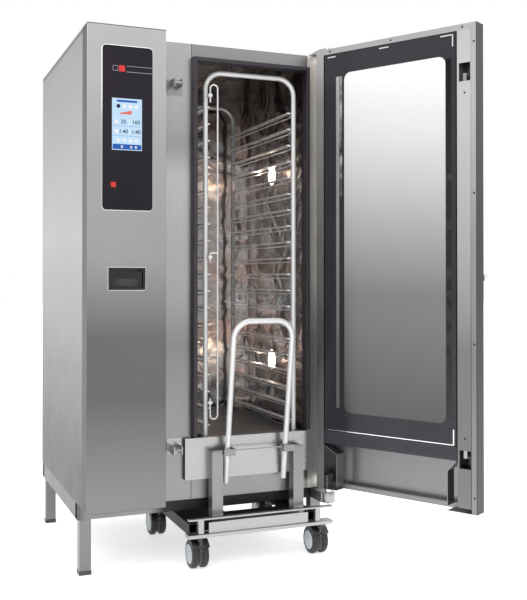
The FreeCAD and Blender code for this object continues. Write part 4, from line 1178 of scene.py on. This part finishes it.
    def clips(self) -> None:
        """Bright angle clips at the corners of the inner glass."""
        pane = self.closed("inner_glass")
        for name, d, z, wide, high in (
            ("top_right_a", 32.5, pane.high.z - 8, 46, 4), ("top_right_b", 10.5, pane.high.z - 27, 4, 40),
            ("top_left", 490.5, pane.high.z - 10, 34, 4), ("top_middle", 272.5, pane.high.z - 10, 38, 4),
            ("bottom_right", 9.5, pane.low.z + 27, 4, 52), ("foot_line", 258.5, pane.low.z + 2, 500, 3),
        ):
            mesh = self.bench.tag(wide, high, 1.2, 1.2, (pane.low.x + d, self.skin.high.y - 0.1, z))
            self.bench.finish(f"glass_clip_{name}", mesh, self.door, "inner_glass", "polished",
                              "latch_steel")

    def screws(self) -> None:
        """Screws along the rim and in the lock channel."""
        channel, rim = self.closed("lock_channel"), self.skin
        spots = [(rim.low.x + x, rim.high.z - 10) for x in (50, 319, 572)]
        beside = (rim.low.x + channel.low.x) / 2 - 1
        spots += [(beside, rim.high.z - down) for down in (63, 555, 1045, 1541)]
        spots += [(channel.mid.x - 3, channel.high.z - 206), (channel.mid.x - 2, channel.low.z + 226)]
        heads = [self.bench.moved(self.bench.screw(3.6), turn("Z", 180), shift(x, rim.high.y - 0.4, z))
                 for x, z in spots]
        self.bench.finish("door_screws", self.bench.merge(*heads), self.door, "door", "shade_and_seam_dark",
                          "latch_steel")

    def ribs(self) -> None:
        """Fine ribs along the drip channel's face."""
        channel = self.closed("drip_channel")
        bars = [self.bench.tube([(x, channel.high.y + 0.4, channel.low.z + 8 + 7 * row)
                                 for x in (channel.low.x + 2, channel.high.x - 2)], 0.9, 0.0, 8)
                for row in range(5)]
        self.bench.finish("drip_ribs", self.bench.merge(*bars), self.door, "door", "drip", "drip_plastic")


# ------------------------------------------------------------------ trolley

@dataclass
class Trolley(SubAssembly):
    """Rack, push handle, chassis and tray stop."""

    levels: int = 20
    rail_high: float = 5.0

    def build(self) -> None:
        """Dress the trolley and add the second rail of each level."""
        for node, coat, edge in (
            ("rack_frames", "tube", 0), ("tray_rails", "wire", 1.2), ("rack_floor_tray", "baffle", 0.5),
            ("trolley_apron", "apron", 0.8), ("trolley_posts", "post", 0.8),
            # The chassis side rails take the near-black steel: painted shade under the trolley.
            ("chassis_front", "chassis", 1.0), ("chassis_side_rails", "shade_and_seam_dark", 0.8),
            ("push_handle", "tube", 0), ("tray_stop_rod", "tube", 0),
        ):
            self.dress(node, coat, edge)
        self.second_rails()
        self.graduations()
        self.plates()

    def heights(self) -> list[float]:
        """Height of each level."""
        rails = self.placed("tray_rails")
        pitch = (rails.size.z - self.rail_high) / (self.levels - 1)
        return [rails.low.z + level * pitch for level in range(self.levels)]

    def second_rails(self) -> None:
        """Thin wire beside each tray rail, with its bent ends."""
        rails = self.placed("tray_rails")
        front, back = rails.low.y + 1, rails.high.y - 1
        for side, x, inward in (("left", rails.low.x + 1, 4.0), ("right", rails.high.x - 1, -4.0)):
            wires = []
            for level in self.heights():
                z = level - 12
                path = [(x, front, level), (x + inward, front + 20, z), (x + inward, back - 20, z),
                        (x, back, level)]
                wires.append(self.bench.tube(path, 2.2, 8.0, 8))
            self.bench.finish(f"rail_wires_{side}", self.bench.merge(*wires), self.cabinet, "trolley",
                              "wire", "tube_steel")

    def plates(self) -> None:
        """Strip across the posts' tops, ends of the front beam, and near-black sheets behind the beam and
        under the chassis that paint the shade there.
        """
        bench = self.bench
        posts, rails = self.placed("trolley_posts"), self.placed("chassis_side_rails")
        front, post = self.placed("chassis_front"), 40.0
        left, right = rails.low.x + 30.5, rails.high.x - 30.5
        foot, pan = posts.low.z + 0.4, rails.high.z - 8
        beam, behind, floor = front.low.y + 7.4, front.high.y + 0.2, front.high.y + 2
        for name, x, z, wide, high, y, deep, coat in (
            ("post_strip", posts.low.x, posts.high.z - 9, posts.size.x, 4, front.high.y - 2.5, 2.5, "post"),
            ("beam_end_left", posts.low.x - 25, foot, post + 25, 37, beam, 2, "chassis"),
            ("beam_end_right", posts.high.x - post, foot, post, 37, beam, 2, "chassis"),
            ("beam_back_left", left, foot, posts.low.x - left - 0.5, 47, behind, 1.5, "shade_and_seam_dark"),
            ("beam_back_right", posts.high.x + 0.5, foot, right - posts.high.x - 0.5, 47, behind, 1.5,
             "shade_and_seam_dark"),
            ("chassis_pan_front", left, pan, right - left, 3, floor, 136, "shade_and_seam_dark"),
            ("chassis_pan_left", left, pan, 150, 3, floor + 136.5, 350, "shade_and_seam_dark"),
            ("chassis_pan_right", right - 64.5, pan, 64.5, 3, floor + 136.5, 350, "shade_and_seam_dark"),
        ):
            mesh = bench.sheet(x, z, wide, high, y, deep)
            bench.finish(name, mesh, self.cabinet, "trolley", coat, "chassis_steel")

    def graduations(self) -> None:
        """Short level marks down the right upright."""
        rack = self.placed("rack_frames")
        ticks = [self.bench.sheet(rack.high.x - 11, z - 0.7, 4, 1.4, rack.low.y + 18.8, 0.5)
                 for z in self.heights()]
        self.bench.finish("level_marks", self.bench.merge(*ticks), self.cabinet, "trolley", "print",
                          "tube_steel")


@dataclass
class Casters(SubAssembly):
    """Four twin-wheel casters with tyres, hub discs and hooded housings."""

    places: tuple[str, ...] = ("front_left", "front_right", "rear_left", "rear_right")

    def build(self) -> None:
        """Dress each housing and turn its wheels."""
        for name in self.places:
            self.dress("caster_housing_" + name, "caster", 0.8)
            self.wheels(name)

    def wheels(self, name: str) -> None:
        """A pair of wheels with rounded tyres, their axle and two hub discs."""
        pair = self.placed("caster_wheels_" + name)
        r = pair.size.z / 2
        profile = [(0, 6.6), (40, 6.6), (r - 3, 7.4), (r - 0.6, 10.5), (r, 15), (r, 21), (r - 0.8, 25.5),
                   (r - 4, 28.8), (r - 10, 29.6), (0, 29.6)]
        turned = Matrix.Translation(pair.mid) @ turn("Z", 90)
        tyres = [self.bench.moved(self.bench.lathe([(a, s * b) for a, b in profile], 56), turned)
                 for s in (1, -1)]
        axle = self.bench.moved(self.bench.bar(5, -10, 10, 20), turned)
        self.bench.finish(f"tyres_{name}", self.bench.merge(*tyres, axle), self.cabinet, "wheels_" + name,
                          "tread", "wheel_rubber", stands_for=["caster_wheels_" + name])
        disc = [(0, 31.9), (9, 31.9), (11, 30.8), (28, 31.4), (33, 30.9), (34, 29.8), (34, 29.2), (0, 29.2)]
        discs = [self.bench.moved(self.bench.lathe([(a, s * b) for a, b in disc], 48), turned)
                 for s in (1, -1)]
        self.bench.finish(f"hub_discs_{name}", self.bench.merge(*discs), self.cabinet, "wheels_" + name,
                          "hub", "wheel_rubber")


# ------------------------------------------------------------------ studio

@dataclass
class Studio:
    """Pale floor, soft lights and the camera."""

    camera_spot: Point = (-1.220, -3.182, 1.013)
    camera_aim: Point = (0.379, 0.925, 0.009)
    lens: float = 54.5
    drop: float = -0.0515

    def build(self) -> None:
        """Set up floor, sky, lights and camera."""
        self.floor()
        self.sky()
        for name, spot, aim, size, energy in (
            ("key_light", (-3.2, -3.4, 3.6), (0, 0, 1.0), 2.6, 70),
            ("fill_light", (3.4, -2.6, 2.2), (0.2, 0, 0.9), 2.2, 35),
            ("top_light", (0.0, -0.4, 4.4), (0, 0, 0.8), 3.0, 45),
        ):
            self.light(name, spot, aim, size, energy)
        self.camera()
        bpy.context.scene.view_settings.view_transform = "Standard"

    def floor(self) -> None:
        """Wide pale floor."""
        mesh = bmesh.new()
        bmesh.ops.create_grid(mesh, x_segments=8, y_segments=8, size=30.0)
        data = bpy.data.meshes.new("studio_floor")
        mesh.to_mesh(data)
        mesh.free()
        piece = bpy.data.objects.new("studio_floor", data)
        bpy.context.scene.collection.objects.link(piece)
        g = Graph("studio_floor")
        cloud = g.noise((0.7, 0.7, 0.7), 2.0)
        data.materials.append(g.surface(Base_Color=g.blend(cloud, grey(0.93), grey(0.96)), Roughness=0.7,
                                        Emission_Color=(1.0, 1.0, 1.0), Emission_Strength=0.62))

    @staticmethod
    def sky() -> None:
        """White surround."""
        world = bpy.data.worlds.new("studio_sky")
        world.use_nodes = True
        world.node_tree.nodes["Background"].inputs[0].default_value = (1.0, 1.0, 1.0, 1.0)
        world.node_tree.nodes["Background"].inputs[1].default_value = 1.0
        bpy.context.scene.world = world

    @staticmethod
    def light(name: str, spot: Point, aim: Point, size: float, energy: float) -> None:
        """One square soft light."""
        data = bpy.data.lights.new(name, "AREA")
        data.shape, data.size, data.energy = "SQUARE", size, energy
        holder = bpy.data.objects.new(name, data)
        bpy.context.scene.collection.objects.link(holder)
        holder.location = spot
        holder.rotation_euler = (Vector(aim) - Vector(spot)).to_track_quat("-Z", "Y").to_euler()

    def camera(self) -> None:
        """Camera at the chosen view."""
        data = bpy.data.cameras.new("view_camera")
        data.lens, data.sensor_width, data.shift_y = self.lens, 36.0, self.drop
        holder = bpy.data.objects.new("view_camera", data)
        bpy.context.scene.collection.objects.link(holder)
        holder.location = self.camera_spot
        holder.rotation_euler = Vector(self.camera_aim).to_track_quat("-Z", "Y").to_euler()
        bpy.context.scene.camera = holder


# ------------------------------------------------------------------ main

def spaces(joints: list[dict[str, Any]]) -> tuple[Space, Space]:
    """Spaces of the cabinet's drawings and of the closed door's drawings.

    Args:
        joints: the frame's joints.

    Returns:
        The cabinet's space and the door's space.
    """
    hinge = next(joint for joint in joints if joint["name"] == "door_swing")
    pins = next(joint for joint in joints if joint["name"] == "hinge_pin_turn")
    opened = -(hinge["range_deg"][0] + pins["range_deg"][0])
    drawn = Vector(DRAWN_HINGE)
    real = Vector((hinge["pos_m"][0], hinge["pos_m"][1], 0.0))
    cabinet = Space(Matrix.Translation(real - drawn / 1000) @ Matrix.Scale(0.001, 4))
    axis = Matrix.Translation(drawn)
    return cabinet, cabinet.local(axis, turn("Z", opened), axis.inverted())


def main() -> None:
    """Load the frame, build every sub-assembly and set the studio."""
    logging.basicConfig(level=logging.INFO, format="%(message)s")
    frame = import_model()
    bench = Bench(Paintshop())
    cabinet, door = spaces(frame["joints"])
    for kind in (Cabinet, Controls, Cavity, Door, Trolley, Casters):
        made = bench.count
        kind(bench, cabinet, door, frame).build()
        LOG.info("%s: %d pieces", kind.__name__, bench.count - made)
    Studio().build()


if __name__ == "__main__":
    main()
